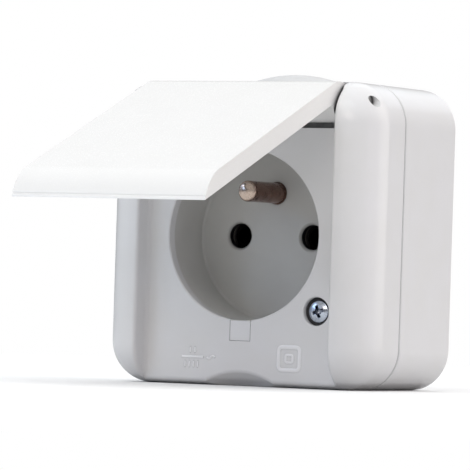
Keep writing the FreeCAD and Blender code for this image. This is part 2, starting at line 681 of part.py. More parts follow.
def make_lid():
    body = new_body("lid")
    face = "(-1 * (lid_front - hinge_out))"
    back = "(-1 * (plate_out + lid_clear - hinge_out))"
    depth = "(lid_front - plate_out - lid_clear)"
    dip = "(lip_round - sqrt(lip_round ^ 2 - (lip_round - %s) ^ 2))" % depth
    foot = "(-1 * lid_reach - %s)" % dip
    section = side_sketch(body, "lid_section")
    draw_outline(section, [(face, foot, "lip_round"), ("barrel_radius", foot),
                           ("barrel_radius", "lid_top"), (face, "lid_top", "front_round")])
    pad(body, section, "lid_width", both=True)

    behind = side_sketch(body, "lid_behind")
    low = "(%s - run_out)" % foot
    beyond = "(barrel_radius + run_out)"
    bend = "(barrel_radius - fit_gap)"
    draw_outline(behind, [(back, low), (beyond, low), (beyond, beyond),
                          ("0", beyond), ("0", "barrel_radius"),
                          ("barrel_radius", "barrel_radius", bend),
                          ("barrel_radius", minus("barrel_radius"), bend),
                          (back, minus("barrel_radius"))])
    pocket(body, behind, "(lid_width + 2 * run_out)", both=True)

    hollow = side_sketch(body, "lid_hollow")
    skin = "(%s + lid_skin)" % face
    upper = "(-1 * barrel_radius - lid_skin)"
    lower = "(%s + lid_skin)" % foot
    draw_outline(hollow, [(skin, lower, "(lip_round - lid_skin)"), ("barrel_radius", lower),
                          ("barrel_radius", upper), (skin, upper)])
    pocket(body, hollow, "(lid_width - 2 * lid_side)", both=True)

    rib = front_sketch(body, "lid_rib", minus(skin), "0", "(-1 * hinge_rise - well_drop)")
    draw_circle(rib, "(lid_seal_inner - fit_gap)")
    draw_circle(rib, "(lid_seal_inner - fit_gap - lid_rib_width)")
    pad(body, rib, "lid_rib_height", back=True)

    bore = side_sketch(body, "lid_bore")
    draw_circle(bore, "(hinge_pin_radius + fit_gap)")
    pocket(body, bore, "(lid_width + 2 * run_out)", both=True)
    set_on_hinge(body)
    return body


def make_lid_seal():
    body = new_body("lid_seal")
    inside = "(lid_front - lid_skin - hinge_out)"
    depth = "(lid_front - lid_skin - plate_out - lid_seal_clear)"
    ring = front_sketch(body, "lid_seal_ring", inside, "0", "(-1 * hinge_rise - well_drop)")
    draw_circle(ring, "lid_seal_outer")
    draw_circle(ring, "lid_seal_inner")
    pad(body, ring, depth, back=True)
    set_on_hinge(body)
    return body


def make_hinge_pin():
    pin = doc.addObject("Part::Cylinder", "hinge_pin")
    pin.Placement = Placement(Vector(), Rotation(Vector(0, 1, 0), 90))
    tie(pin, "Radius", "hinge_pin_radius")
    tie(pin, "Height", "(body_width - hinge_pin_left - hinge_pin_right)")
    tie(pin, "Placement.Base.x", "(hinge_pin_left - half_width)")
    tie(pin, "Placement.Base.y", minus("hinge_out"))
    tie(pin, "Placement.Base.z", "hinge_rise")
    return pin


# Cup of the well, with a key in front that stands in the notch of the plate.

def make_socket_well():
    body = new_body("socket_well")
    centre = minus("well_drop")
    disc = front_sketch(body, "well_disc", "cup_back", "0", centre)
    draw_circle(disc, "(well_radius + well_wall)")
    pad(body, disc, "(plate_back - cup_back)")

    key = front_sketch(body, "well_key", "(plate_out - key_length)", "0", centre)
    draw_rectangle(key, "(-1 * key_width / 2)", "(key_width / 2)",
                   "(-1 * well_radius - key_height)", "(-1 * well_radius + key_width / 2)")
    pad(body, key, "key_length")

    mouth = front_sketch(body, "well_mouth", "plate_out", "0", centre)
    draw_circle(mouth, "well_radius")
    pocket(body, mouth, "well_depth")

    holes = front_sketch(body, "well_pin_holes", "floor_out", "0", centre)
    for across in ("pin_side", minus("pin_side")):
        draw_circle(holes, "pin_hole_radius", across)
    pocket(body, holes)
    level = -number("floor_out")
    dress(body, "Chamfer", "well_pin_mouths", "pin_hole_mouth", in_plane(level, number("pin_hole_radius")))

    earth = front_sketch(body, "well_earth_hole", "floor_out", "0", centre)
    draw_circle(earth, "(earth_foot + fit_gap)", "0", "earth_rise")
    pocket(body, earth)
    dress(body, "Fillet", "well_floor_round", "floor_round", in_plane(level, number("well_radius")))
    return body


def make_cover_gasket():
    body = new_body("cover_gasket")
    ring = front_sketch(body, "gasket_ring", "(box_depth - seal_depth)")
    draw_body_outline(ring, "seal_inset")
    draw_body_outline(ring, "(seal_inset + seal_width)")
    pad(body, ring, "(seal_depth + joint_gap)")
    return body


# Grommet: a low crown on the box, a groove that takes the wall, and a hollow stem inside.

def make_cable_grommet():
    body = new_body("cable_grommet")
    section = front_sketch(body, "grommet_section", "gland_out", "0", "half_height")
    crown = "(gland_flange / 2)"
    neck = "(gland_hole - fit_gap)"
    under = "(-1 * wall - fit_gap)"
    lip = "(-1 * wall - fit_gap - gland_lip_height)"
    outer = "(gland_hole - 2 * gland_skin)"
    inner = "(gland_hole - 3 * gland_skin)"
    draw_outline(section, [("0", "gland_rise"), (crown, "gland_rise"), ("gland_flange", "gland_edge"),
                           ("gland_flange", "0"), (neck, "0"), (neck, under), ("gland_lip", under),
                           ("gland_lip", lip), (outer, lip), (outer, minus("gland_stem")),
                           (inner, minus("gland_stem")), (inner, "(gland_edge - gland_skin)"),
                           ("0", "(gland_edge - gland_skin)")])
    revolve(body, section, "V_Axis")
    return body


# Contact carrier: a moulded block behind the cup, bored for the sleeves, with pockets for
# the terminal blocks, channels for the straps and a cap that closes its back.

def draw_carrier(sketch):
    """Outline of carrier and cap: broad below, with an arm for the earth terminal above."""
    shoulder = "(carrier_head - well_drop)"
    draw_outline(sketch, [(minus("carrier_half"), "carrier_foot", "carrier_round"),
                          ("carrier_half", "carrier_foot", "carrier_round"),
                          ("carrier_half", shoulder, "carrier_round"), ("carrier_arm", shoulder),
                          ("carrier_arm", "carrier_top", "carrier_round"),
                          (minus("carrier_arm"), "carrier_top", "carrier_round"),
                          (minus("carrier_arm"), shoulder),
                          (minus("carrier_half"), shoulder, "carrier_round")])


def make_carrier_body():
    body = new_body("carrier_body")
    outline = front_sketch(body, "carrier_outline", "carrier_back")
    draw_carrier(outline)
    pad(body, outline, "(cup_back - carrier_back)")

    centre = minus("well_drop")
    bores = front_sketch(body, "carrier_bores", "cup_back", "0", centre)
    for across in ("pin_side", minus("pin_side")):
        draw_circle(bores, "sleeve_room", across)
    pocket(body, bores)

    channels = front_sketch(body, "carrier_channels", "cup_back")
    wide = "(strap_half + clamp_room)"
    for across in ("pin_side", minus("pin_side")):
        draw_rectangle(channels, "(%s - %s)" % (across, wide), "(%s + %s)" % (across, wide),
                       "(carrier_foot + strap_inset - clamp_room)", centre)
    draw_rectangle(channels, minus(wide), wide, "(earth_rise - well_drop - earth_collar)",
                   "(carrier_top - strap_inset + clamp_room)")
    pocket(body, channels, "(cup_back - strap_out)")

    collar = front_sketch(body, "carrier_collar", "cup_back", "0", centre)
    draw_circle(collar, "(earth_collar + fit_gap)", "0", "earth_rise")
    pocket(body, collar, "(cup_back - strap_out)")
    rivet = front_sketch(body, "carrier_rivet", "cup_back", "0", centre)
    draw_circle(rivet, "(rivet_radius + clamp_room)", "0", "earth_rise")
    pocket(body, rivet, "(cup_back - strap_out + rivet_height + clamp_room)")

    rooms = front_sketch(body, "carrier_rooms", "cup_back")
    half = "(clamp_half + clamp_room)"
    for across, upright in terminal_spots:
        draw_rectangle(rooms, "(%s - %s)" % (across, half), "(%s + %s)" % (across, half),
                       "(%s - clamp_tall - clamp_room)" % upright, "(%s + clamp_tall + clamp_room)" % upright)
    pocket(body, rooms, "(cup_back - strap_out + clamp_depth)")

    lower_wires = top_sketch(body, "carrier_lower_wires", "live_terminal", "0", minus("wire_out"))
    for across in ("pin_side", minus("pin_side")):
        draw_circle(lower_wires, "(wire_bore + fit_gap)", across)
    pocket(body, lower_wires)
    upper_wire = top_sketch(body, "carrier_upper_wire", "earth_terminal", "0", minus("wire_out"))
    draw_circle(upper_wire, "(wire_bore + fit_gap)")
    pocket(body, upper_wire, ahead=True)

    seats = front_sketch(body, "carrier_seats", "cup_back")
    for across, upright in fastener_spots:
        draw_circle(seats, "(fastener_head + clamp_room)", across, upright)
    pocket(body, seats, "(cup_back - fastener_seat)")
    shanks = front_sketch(body, "carrier_shanks", "cup_back")
    for across, upright in fastener_spots:
        draw_circle(shanks, "(shank_radius + 3 * fit_gap)", across, upright)
    pocket(body, shanks)
    studs = front_sketch(body, "carrier_stud_rooms", "carrier_back")
    for across, upright in fastener_spots:
        draw_circle(studs, "(stud_radius + stud_room)", across, upright)
    pocket(body, studs, "(stud_top + stud_room - carrier_back)", ahead=True)
    return body


def make_carrier_cap():
    body = new_body("carrier_cap")
    outline = front_sketch(body, "cap_outline", "back_wall")
    draw_carrier(outline)
    pad(body, outline, "cap_thick")
    holes = front_sketch(body, "cap_holes", "carrier_back")
    for across in ("pin_side", minus("pin_side")):
        draw_circle(holes, "(sleeve_inner + clamp_room)", across, minus("well_drop"))
    for across, upright in fastener_spots:
        draw_circle(holes, "(stud_radius + stud_room)", across, upright)
    pocket(body, holes)
    return body


# Contacts: a sleeve split into two leaves with a strap down to its terminal.

def make_contact(label, across):
    """Sleeve and strap for one pin, at a distance across."""
    body = new_body(label)
    centre = minus("well_drop")
    tube = front_sketch(body, label + "_tube", "sleeve_back", across, centre)
    draw_circle(tube, "(sleeve_inner + sleeve_wall)")
    pad(body, tube, "(terminal_seat - sleeve_back)")
    strap = front_sketch(body, label + "_strap", "strap_out", across)
    draw_rectangle(strap, minus("strap_half"), "strap_half", "(carrier_foot + strap_inset)", centre)
    pad(body, strap, "strap_thick")
    bore = front_sketch(body, label + "_bore", "terminal_seat", across, centre)
    draw_circle(bore, "sleeve_inner")
    pocket(body, bore)
    slot = front_sketch(body, label + "_slot", "(strap_out - strap_thick)", across, centre)
    reach = "(sleeve_inner + 2 * sleeve_wall)"
    draw_rectangle(slot, "(-1 * sleeve_slot / 2)", "(sleeve_slot / 2)", minus(reach), reach)
    pocket(body, slot)
    hole = front_sketch(body, label + "_hole", "terminal_seat", across, "live_terminal")
    draw_circle(hole, "(shank_radius + fit_gap)")
    pocket(body, hole)
    return body


def make_clip_spring(label, across):
    """Open steel ring that presses the leaves of a sleeve together."""
    outer = rod(label + "_outer", across, "clip_back", minus("well_drop"),
                "(sleeve_inner + sleeve_wall + fit_gap + clip_thick)", "clip_depth")
    inner = rod(label + "_inner", across, "(clip_back - run_out)", minus("well_drop"),
                "(sleeve_inner + sleeve_wall + fit_gap)", "(clip_depth + 2 * run_out)")
    gap = block(label + "_gap", "(%s - clip_opening / 2)" % across, "(%s + clip_opening / 2)" % across,
                "(clip_back - run_out)", "(clip_back + clip_depth + run_out)", minus("well_drop"),
                "(sleeve_inner + sleeve_wall + fit_gap + clip_thick + run_out)")
    return less(label, outer, inner, gap)


# Earth pin: turned, with a foot in the floor of the well, a collar against the back of the cup
# and a neck riveted to the strap.

def make_earth_pin():
    body = new_body("earth_pin")
    section = side_sketch(body, "earth_section", "0", "0", "(earth_rise - well_drop)")
    tip = "(-1 * (floor_out + earth_length))"
    step = "(-1 * (floor_out + earth_step))"
    collar = minus("cup_back")
    seat = minus("terminal_seat")
    neck = minus("strap_out")
    end = "(-1 * (strap_out - rivet_height))"
    draw_outline(section, [(tip, "0"), (tip, "earth_radius", "earth_round"), (step, "earth_radius"),
                           (step, "earth_foot"), (collar, "earth_foot"), (collar, "earth_collar"),
                           (seat, "earth_collar"), (seat, "earth_neck"), (neck, "earth_neck"),
                           (neck, "rivet_radius"), (end, "rivet_radius"), (end, "0")])
    revolve(body, section, "H_Axis")
    return body


def make_earth_strap():
    plate = block("earth_strap_plate", minus("strap_half"), "strap_half", "strap_out", "terminal_seat",
                  "(earth_rise - earth_collar + fit_gap - well_drop)", "(carrier_top - strap_inset)")
    rivet = rod("earth_strap_rivet", "0", "(strap_out - run_out)", "(earth_rise - well_drop)",
                "(earth_neck + fit_gap)", "(strap_thick + 2 * run_out)")
    screw = rod("earth_strap_screw", "0", "(strap_out - run_out)", "earth_terminal",
                "(shank_radius + fit_gap)", "(strap_thick + 2 * run_out)")
    return less("earth_strap", plate, rivet, screw)


def make_clamp(label, across, upright):
    """Terminal block with a screw hole from the front and a wire hole from above to below."""
    body = block(label + "_block", "(%s - clamp_half)" % across, "(%s + clamp_half)" % across,
                 "(strap_out - clamp_depth)", "strap_out",
                 "(%s - clamp_tall)" % upright, "(%s + clamp_tall)" % upright)
    screw = rod(label + "_screw_hole", across, "wire_out", upright, "(shank_radius + fit_gap)", "clamp_depth")
    wire = doc.addObject("Part::Cylinder", label + "_wire_hole")
    tie(wire, "Radius", "wire_bore")
    tie(wire, "Height", "(2 * clamp_tall + 2 * run_out)")
    tie(wire, "Placement.Base.x", across)
    tie(wire, "Placement.Base.y", minus("wire_out"))
    tie(wire, "Placement.Base.z", "(%s - clamp_tall - run_out)" % upright)
    return less(label, body, screw, wire)


# Screws: a bevelled head with a driver slot, and a plain shank.

def make_screw(name, spot, seat, head, height, tip, cross=False):
    """One screw at a spot, its head seated at a distance out and its tip nearer the wall."""
    across, upright = spot
    cap = rod(name + "_head", across, seat, upright, head, "(%s - head_bevel)" % height)
    bevel = doc.addObject("Part::Cone", name + "_bevel")
    bevel.Placement = Placement(Vector(), Rotation(Vector(1, 0, 0), 90))
    tie(bevel, "Radius1", head)
    tie(bevel, "Radius2", "(%s - head_bevel)" % head)
    tie(bevel, "Height", "head_bevel")
    tie(bevel, "Placement.Base.x", across)
    tie(bevel, "Placement.Base.y", "(-1 * (%s + %s - head_bevel))" % (seat, height))
    tie(bevel, "Placement.Base.z", upright)
    shank = rod(name + "_shank", across, tip, upright, "shank_radius", "(%s - %s)" % (seat, tip))
    screw = joined(name + "_blank", cap, bevel, shank)
    reach = "(slot_share * %s)" % head if cross else "(%s + run_out)" % head
    floor = "(%s + %s - slot_depth)" % (seat, height)
    over = "(%s + %s + run_out)" % (seat, height)
    slots = [block(name + "_slot", "(%s - %s)" % (across, reach), "(%s + %s)" % (across, reach),
                   floor, over, "(%s - slot_width / 2)" % upright, "(%s + slot_width / 2)" % upright)]
    if cross:
        slots.append(block(name + "_cross",
                           "(%s - slot_width / 2)" % across, "(%s + slot_width / 2)" % across,
                           floor, over, "(%s - %s)" % (upright, reach), "(%s + %s)" % (upright, reach)))
    return less(name, screw, *slots)


def make_screw_seal(name, spot):
    """Cupped rubber ring that seals a cover screw: its head sits in the cup."""
    across, upright = spot
    blank = rod(name + "_blank", across, "(screw_seat - seal_floor)", upright,
                "(counterbore_radius - fit_gap)", "(seal_floor + seal_wall)")
    cup = rod(name + "_cup", across, "screw_seat", upright,
              "(head_radius + fit_gap)", "(seal_wall + run_out)")
    hole = rod(name + "_hole", across, "(screw_seat - seal_floor - run_out)", upright,
               "(shank_radius + fit_gap)", "(seal_floor + 2 * run_out)")
    return less(name, blank, cup, hole)


right, left = "pin_side", minus("pin_side")
nodes = {
    "back_box": make_back_box(),
    "front_cover": make_front_cover(),
    "lid": make_lid(),
    "lid_seal": make_lid_seal(),
    "hinge_pin": make_hinge_pin(),
    "socket_well": make_socket_well(),
    "cover_gasket": make_cover_gasket(),
    "cable_grommet": make_cable_grommet(),
    "carrier_body": make_carrier_body(),
    "carrier_cap": make_carrier_cap(),
    "line_contact": make_contact("line_contact", right),
    "neutral_contact": make_contact("neutral_contact", left),
    "line_clip_spring": make_clip_spring("line_clip_spring", right),
    "neutral_clip_spring": make_clip_spring("neutral_clip_spring", left),
    "earth_pin": make_earth_pin(),
    "earth_strap": make_earth_strap(),
    "line_clamp": make_clamp("line_clamp", *terminal_spots[0]),
    "neutral_clamp": make_clamp("neutral_clamp", *terminal_spots[1]),
    "earth_clamp": make_clamp("earth_clamp", *terminal_spots[2]),
    "cover_screws": group("cover_screws", [
        make_screw("cover_screw_%d" % (index + 1), spot, "screw_seat", "head_radius", "head_height",
                   "shank_bottom", cross=True) for index, spot in enumerate(cover_screw_spots)]),
    "screw_seals": group("screw_seals", [
        make_screw_seal("screw_seal_%d" % (index + 1), spot)
        for index, spot in enumerate(cover_screw_spots)]),
    "carrier_screws": group("carrier_screws", [
        make_screw("carrier_screw_%d" % (index + 1), spot, "fastener_seat", "fastener_head",
                   "fastener_head_height", "fastener_tip", cross=True)
        for index, spot in enumerate(fastener_spots)]),
    "terminal_screws": group("terminal_screws", [
        make_screw("terminal_screw_%d" % (index + 1), spot, "terminal_seat", "terminal_head",
                   "terminal_head_height", "terminal_tip") for index, spot in enumerate(terminal_spots)]),
}
doc.recompute()

# Checks come before anything is written.
for item in doc.Objects:
    if "Invalid" in item.State or "Error" in item.State:
        raise RuntimeError("%s could not be built" % item.Name)
for name, item in nodes.items():
    item.Label = name
    if item.Shape.isNull() or not item.Shape.isValid() or not item.Shape.Solids:
        raise RuntimeError("%s is not a valid solid" % name)

os.makedirs("parts", exist_ok=True)
for name, item in nodes.items():
    item.Shape.exportStep("parts/%s.step" % name)
    box = item.Shape.BoundBox
    spans = (box.XMin, box.XMax, box.YMin, box.YMax, box.ZMin, box.ZMax)
    print("%-20s %d solid(s) %9.1f mm3" % (name, len(item.Shape.Solids), item.Shape.Volume),
          "  X %6.2f %6.2f   Y %6.2f %6.2f   Z %6.2f %6.2f" % spans)
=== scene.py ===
import math

import bmesh
import bpy
import numpy as np
from mathutils import Matrix


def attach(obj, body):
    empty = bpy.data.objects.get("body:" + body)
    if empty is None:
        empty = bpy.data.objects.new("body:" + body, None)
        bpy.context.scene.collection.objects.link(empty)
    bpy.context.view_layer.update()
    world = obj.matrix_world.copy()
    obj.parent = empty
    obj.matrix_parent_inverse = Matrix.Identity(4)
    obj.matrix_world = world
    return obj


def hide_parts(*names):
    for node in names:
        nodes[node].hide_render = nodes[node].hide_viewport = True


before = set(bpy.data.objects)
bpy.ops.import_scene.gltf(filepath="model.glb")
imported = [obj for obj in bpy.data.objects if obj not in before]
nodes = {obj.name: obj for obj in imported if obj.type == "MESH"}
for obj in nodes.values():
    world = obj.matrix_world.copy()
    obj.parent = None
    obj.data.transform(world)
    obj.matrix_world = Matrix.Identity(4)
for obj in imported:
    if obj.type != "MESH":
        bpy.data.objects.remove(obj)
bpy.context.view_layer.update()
print("frame loaded:", len(nodes), "nodes")

mm = 0.001
poleRadius = 0.002    # the small ring, in millimetres, that closes a turned piece on its axis
poleMerge = 6e-6      # in metres, wide enough to join that ring into one point


# Meshes from arrays

def gridQuads(rows, cols, loopRows=False, loopCols=False, start=0):
    # quads between neighbouring points of a rows x cols grid; a looped side joins its last line to its first
    r = np.arange(rows if loopRows else rows - 1)[:, None]
    c = np.arange(cols if loopCols else cols - 1)[None, :]
    r2, c2 = (r + 1) % rows, (c + 1) % cols
    quads = np.stack([r * cols + c, r * cols + c2, r2 * cols + c2, r2 * cols + c], axis=-1)
    return quads.reshape(-1, 4) + start


def firstAndLast(rows, cols, start=0):
    # the two long faces that close the ends of such a grid
    last = start + (rows - 1) * cols
    return [list(range(start, start + cols)), list(range(last, last + cols))]


def meshObject(name, points, quads, longFaces=()):
    # points in millimetres; a long face is a list with any number of corners
    mesh = bpy.data.meshes.new(name)
    places = (np.asarray(points).reshape(-1, 3) * mm).tolist()
    mesh.from_pydata(places, [], quads.tolist() + [list(face) for face in longFaces])
    mesh.validate()
    piece = bpy.data.objects.new(name, mesh)
    bpy.context.scene.collection.objects.link(piece)
    return piece


def outward(piece, mergeAt=1e-6):
    # joins doubled points and turns all faces outwards
    bm = bmesh.new()
    bm.from_mesh(piece.data)
    bmesh.ops.remove_doubles(bm, verts=bm.verts, dist=mergeAt)
    bmesh.ops.recalc_face_normals(bm, faces=bm.faces)
    bm.to_mesh(piece.data)
    bm.free()


def smoothEdges(piece, sharpAbove, bevel=0, steps=3):
    # smooth shading that keeps edges sharper than the angle, and a small rounding on those
    piece.data.shade_smooth()
    piece.data.set_sharp_from_angle(angle=math.radians(sharpAbove))
    if bevel:
        mod = piece.modifiers.new("softEdges", "BEVEL")
        mod.width = bevel * mm
        mod.segments = steps
        mod.limit_method = "ANGLE"
        mod.angle_limit = math.radians(sharpAbove)
        mod.harden_normals = True
        mod.miter_outer = "MITER_ARC"


def settle(piece, body, slot, material, *stoodFor):
    # one material, the body it rides on, and the CAD nodes it stands for; the slot is not used
    piece.data.materials.clear()
    piece.data.materials.append(material)
    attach(piece, body)
    if stoodFor:
        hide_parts(*stoodFor)


def arc(centre, radius, startDeg, endDeg, count):
    # points of a circle's arc, centre plus radius times cosine and sine of evenly spaced angles
    a = np.radians(np.linspace(startDeg, endDeg, count))
    return np.stack([centre[0] + radius * np.cos(a), centre[1] + radius * np.sin(a)], axis=1)


def line(a, b, count):
    # evenly spaced points from a to b
    t = np.linspace(0, 1, count)[:, None]
    return np.asarray(a, float) * (1 - t) + np.asarray(b, float) * t


def turned(profile, count, toFrame):
    # surface of revolution: each profile point (along, radius) goes round the axis, and toFrame
    # puts (along, across, up) into the part's frame
    a = np.linspace(0, 2 * np.pi, count, endpoint=False)
    along = np.repeat(profile[:, :1], count, axis=1)
    across = profile[:, 1:] * np.cos(a)
    up = profile[:, 1:] * np.sin(a)
    return toFrame(along, across, up), gridQuads(len(profile), count, loopCols=True)


# Shader groups

def newGroup(name, inputs, outputs):
    tree = bpy.data.node_groups.new(name, "ShaderNodeTree")
    for label, kind, value in inputs:
        socket = tree.interface.new_socket(label, in_out="INPUT", socket_type="NodeSocket" + kind)
        socket.default_value = value
    for label, kind in outputs:
        tree.interface.new_socket(label, in_out="OUTPUT", socket_type="NodeSocket" + kind)
    return tree, tree.nodes.new("NodeGroupInput"), tree.nodes.new("NodeGroupOutput")


def add(tree, kind, **settings):
    # one node; a setting whose name is a socket is set there, any other on the node itself
    node = tree.nodes.new(kind)
    for key, value in settings.items():
        if key in node.inputs:
            node.inputs[key].default_value = value
        else:
            setattr(node, key, value)
    return node


def placeInMm(tree):
    coord = add(tree, "ShaderNodeTexCoord")
    scaled = add(tree, "ShaderNodeVectorMath", operation="SCALE", Scale=1000.0)
    tree.links.new(coord.outputs["Object"], scaled.inputs[0])
    return scaled.outputs[0]


def noise(tree, place, **settings):
    node = add(tree, "ShaderNodeTexNoise", **settings)
    tree.links.new(place, node.inputs["Vector"])
    return node


def ranged(tree, value, low, high, **settings):
    # 0 at low, 1 at high
    node = add(tree, "ShaderNodeMapRange", **{"From Min": low, "From Max": high, **settings})
    tree.links.new(value, node.inputs["Value"])
    return node.outputs[0]


def product(tree, first, second):
    node = add(tree, "ShaderNodeMath", operation="MULTIPLY")
    tree.links.new(first, node.inputs[0])
    tree.links.new(second, node.inputs[1])
    return node.outputs[0]


def timesPlus(tree, value, factor, rest):
    node = add(tree, "ShaderNodeMath", operation="MULTIPLY_ADD")
    node.inputs[1].default_value = factor
    tree.links.new(value, node.inputs[0])
    tree.links.new(rest, node.inputs[2])
    return node.outputs[0]


def mixed(tree, share, first, second):
    # first colour where the share is 0, second where it is 1
    node = add(tree, "ShaderNodeMix", data_type="RGBA")
    for socket, source in ((0, share), (6, first), (7, second)):
        tree.links.new(source, node.inputs[socket])
    return node.outputs[2]


skinLook = {
    "slow": 0.11,                 # patches of tone per millimetre
    "toneRange": (0.35, 0.7),
    "peel": 0.55,                 # unevenness of the mould per millimetre
    "peelStrength": 0.12,
    "peelDepth": 0.00006,
    "grainDepth": 0.00003,
    "roughWander": 0.12,
}


def buildMouldedSkin(s):
    # moulded plastic: slow unevenness of the tool, fine spark-eroded grain, faint change of tone
    tree, gin, gout = newGroup("mouldedSkin", [
        ("Colour", "Color", (0.8, 0.8, 0.8, 1)),
        ("Tint", "Color", (0.7, 0.7, 0.7, 1)),
        ("Tint amount", "Float", 0.1),
        ("Grain size", "Float", 0.25),
        ("Grain depth", "Float", 0.3),
        ("Roughness", "Float", 0.4),
    ], [("Colour", "Color"), ("Roughness", "Float"), ("Normal", "Vector")])
    link = tree.links.new
    place = placeInMm(tree)
    slow = noise(tree, place, Scale=s["slow"], Detail=3.0)
    fine = noise(tree, place, Detail=4.0, Roughness=0.6)
    peel = noise(tree, place, Scale=s["peel"], Detail=2.0)
    perMm = add(tree, "ShaderNodeMath", operation="DIVIDE")
    perMm.inputs[0].default_value = 1.0
    link(gin.outputs["Grain size"], perMm.inputs[1])
    link(perMm.outputs[0], fine.inputs["Scale"])
    share = product(tree, ranged(tree, slow.outputs["Fac"], *s["toneRange"]), gin.outputs["Tint amount"])
    link(mixed(tree, share, gin.outputs["Colour"], gin.outputs["Tint"]), gout.inputs["Colour"])
    rough = timesPlus(tree, fine.outputs["Fac"], s["roughWander"], gin.outputs["Roughness"])
    link(rough, gout.inputs["Roughness"])
    bumpPeel = add(tree, "ShaderNodeBump", Strength=s["peelStrength"], Distance=s["peelDepth"])
    link(peel.outputs["Fac"], bumpPeel.inputs["Height"])
    bumpFine = add(tree, "ShaderNodeBump", Distance=s["grainDepth"])
    link(fine.outputs["Fac"], bumpFine.inputs["Height"])
    link(gin.outputs["Grain depth"], bumpFine.inputs["Strength"])
    link(bumpPeel.outputs["Normal"], bumpFine.inputs["Normal"])
    link(bumpFine.outputs["Normal"], gout.inputs["Normal"])
    return tree


creviceLook = {
    "Crease shade": (0.93, 0.55),        # openness where the tone starts, and where it is full
    "Deep": (0.42, 0.14),
    "foot": (-0.0345, -0.0325),   # heights between which the tones come in
    "patches": 420.0,             # per metre; they break the painted crease shade up
    "patchRange": (0.3, 0.7),
    "patchLeast": 0.7,
}


def buildCrevice(s):
    # two painted shades from ambient occlusion: a darker tone in narrow joints and corners, broken up in
    # patches, and a near-black tone deep inside holes;
    # both fade out towards the foot, where the floor would count as a joint
    tree, gin, gout = newGroup("paintedCreviceShade", [
        ("Colour", "Color", (0.8, 0.8, 0.8, 1)),
        ("Crease shade", "Color", (0.35, 0.33, 0.3, 1)),
        ("Reach", "Float", 0.0008),
        ("Amount", "Float", 0.3),
        ("Deep", "Color", (0.03, 0.03, 0.035, 1)),
        ("Deep reach", "Float", 0.006),
        ("Deep amount", "Float", 0.9),
    ], [("Colour", "Color")])
    link = tree.links.new
    coord = add(tree, "ShaderNodeTexCoord")
    patchy = noise(tree, coord.outputs["Object"], Scale=s["patches"], Detail=3.0)
    uneven = ranged(tree, patchy.outputs["Fac"], *s["patchRange"], **{"To Min": s["patchLeast"]})
    apart = add(tree, "ShaderNodeSeparateXYZ")
    link(coord.outputs["Object"], apart.inputs[0])
    clear = ranged(tree, apart.outputs["Z"], *s["foot"])
    colour = gin.outputs["Colour"]
    for tone, reach, amount in (("Crease shade", "Reach", "Amount"), ("Deep", "Deep reach", "Deep amount")):
        ao = add(tree, "ShaderNodeAmbientOcclusion", samples=8)
        link(gin.outputs[reach], ao.inputs["Distance"])
        share = product(tree, ranged(tree, ao.outputs["AO"], *s[tone]), clear)
        share = product(tree, share, gin.outputs[amount])
        if tone == "Crease shade":
            share = product(tree, share, uneven)
        colour = mixed(tree, share, colour, gin.outputs[tone])
    link(colour, gout.inputs["Colour"])
    return tree


def buildBand():
    # second colour beyond a plane: the place along an axis, in millimetres, runs from Start to End
    tree, gin, gout = newGroup("bandTone", [
        ("Colour", "Color", (0.8, 0.8, 0.8, 1)),
        ("Band", "Color", (0.8, 0.8, 0.8, 1)),
        ("Axis", "Vector", (0.0, 0.0, 1.0)),
        ("Start", "Float", 0.0),
        ("End", "Float", 1.0),
    ], [("Colour", "Color")])
    link = tree.links.new
    along = add(tree, "ShaderNodeVectorMath", operation="DOT_PRODUCT")
    link(placeInMm(tree), along.inputs[0])
    link(gin.outputs["Axis"], along.inputs[1])
    share = add(tree, "ShaderNodeMapRange")
    link(along.outputs["Value"], share.inputs["Value"])
    link(gin.outputs["Start"], share.inputs["From Min"])
    link(gin.outputs["End"], share.inputs["From Max"])
    link(mixed(tree, share.outputs[0], gin.outputs["Colour"], gin.outputs["Band"]), gout.inputs["Colour"])
    return tree


metalLook = {
    "stains": 700.0,              # per metre
    "stainRange": (0.42, 0.68),
    "stainRough": 0.25,           # how much rougher a stain is
    "lineDepth": 0.00002,
}


def buildMachined(s):
    # turned or drawn metal: fine lines that run round or along an axis, with slow stains
    tree, gin, gout = newGroup("machinedMetal", [
        ("Colour", "Color", (0.6, 0.6, 0.6, 1)),
        ("Stain", "Color", (0.3, 0.3, 0.3, 1)),
        ("Stain amount", "Float", 0.4),
        ("Lines", "Vector", (400.0, 6000.0, 400.0)),
        ("Line depth", "Float", 0.15),
        ("Roughness", "Float", 0.3),
    ], [("Colour", "Color"), ("Roughness", "Float"), ("Normal", "Vector")])
    link = tree.links.new
    coord = add(tree, "ShaderNodeTexCoord")
    stretch = add(tree, "ShaderNodeVectorMath", operation="MULTIPLY")
    link(coord.outputs["Object"], stretch.inputs[0])
    link(gin.outputs["Lines"], stretch.inputs[1])
    lines = noise(tree, stretch.outputs[0], Scale=1.0, Detail=3.0)
    stain = noise(tree, coord.outputs["Object"], Scale=s["stains"], Detail=4.0, Roughness=0.6)
    mask = ranged(tree, stain.outputs["Fac"], *s["stainRange"])
    share = product(tree, mask, gin.outputs["Stain amount"])
    link(mixed(tree, share, gin.outputs["Colour"], gin.outputs["Stain"]), gout.inputs["Colour"])
    link(timesPlus(tree, mask, s["stainRough"], gin.outputs["Roughness"]), gout.inputs["Roughness"])
    bump = add(tree, "ShaderNodeBump", Distance=s["lineDepth"])
    link(lines.outputs["Fac"], bump.inputs["Height"])
    link(gin.outputs["Line depth"], bump.inputs["Strength"])
    link(bump.outputs["Normal"], gout.inputs["Normal"])
    return tree


mouldedSkin = buildMouldedSkin(skinLook)
paintedCreviceShade = buildCrevice(creviceLook)
bandTone = buildBand()
machinedMetal = buildMachined(metalLook)
print("shader groups ready")


# Materials

def placeGroup(tree, group, values):
    node = tree.nodes.new("ShaderNodeGroup")
    node.node_tree = group
    for key, value in values.items():
        node.inputs[key].default_value = value
    return node


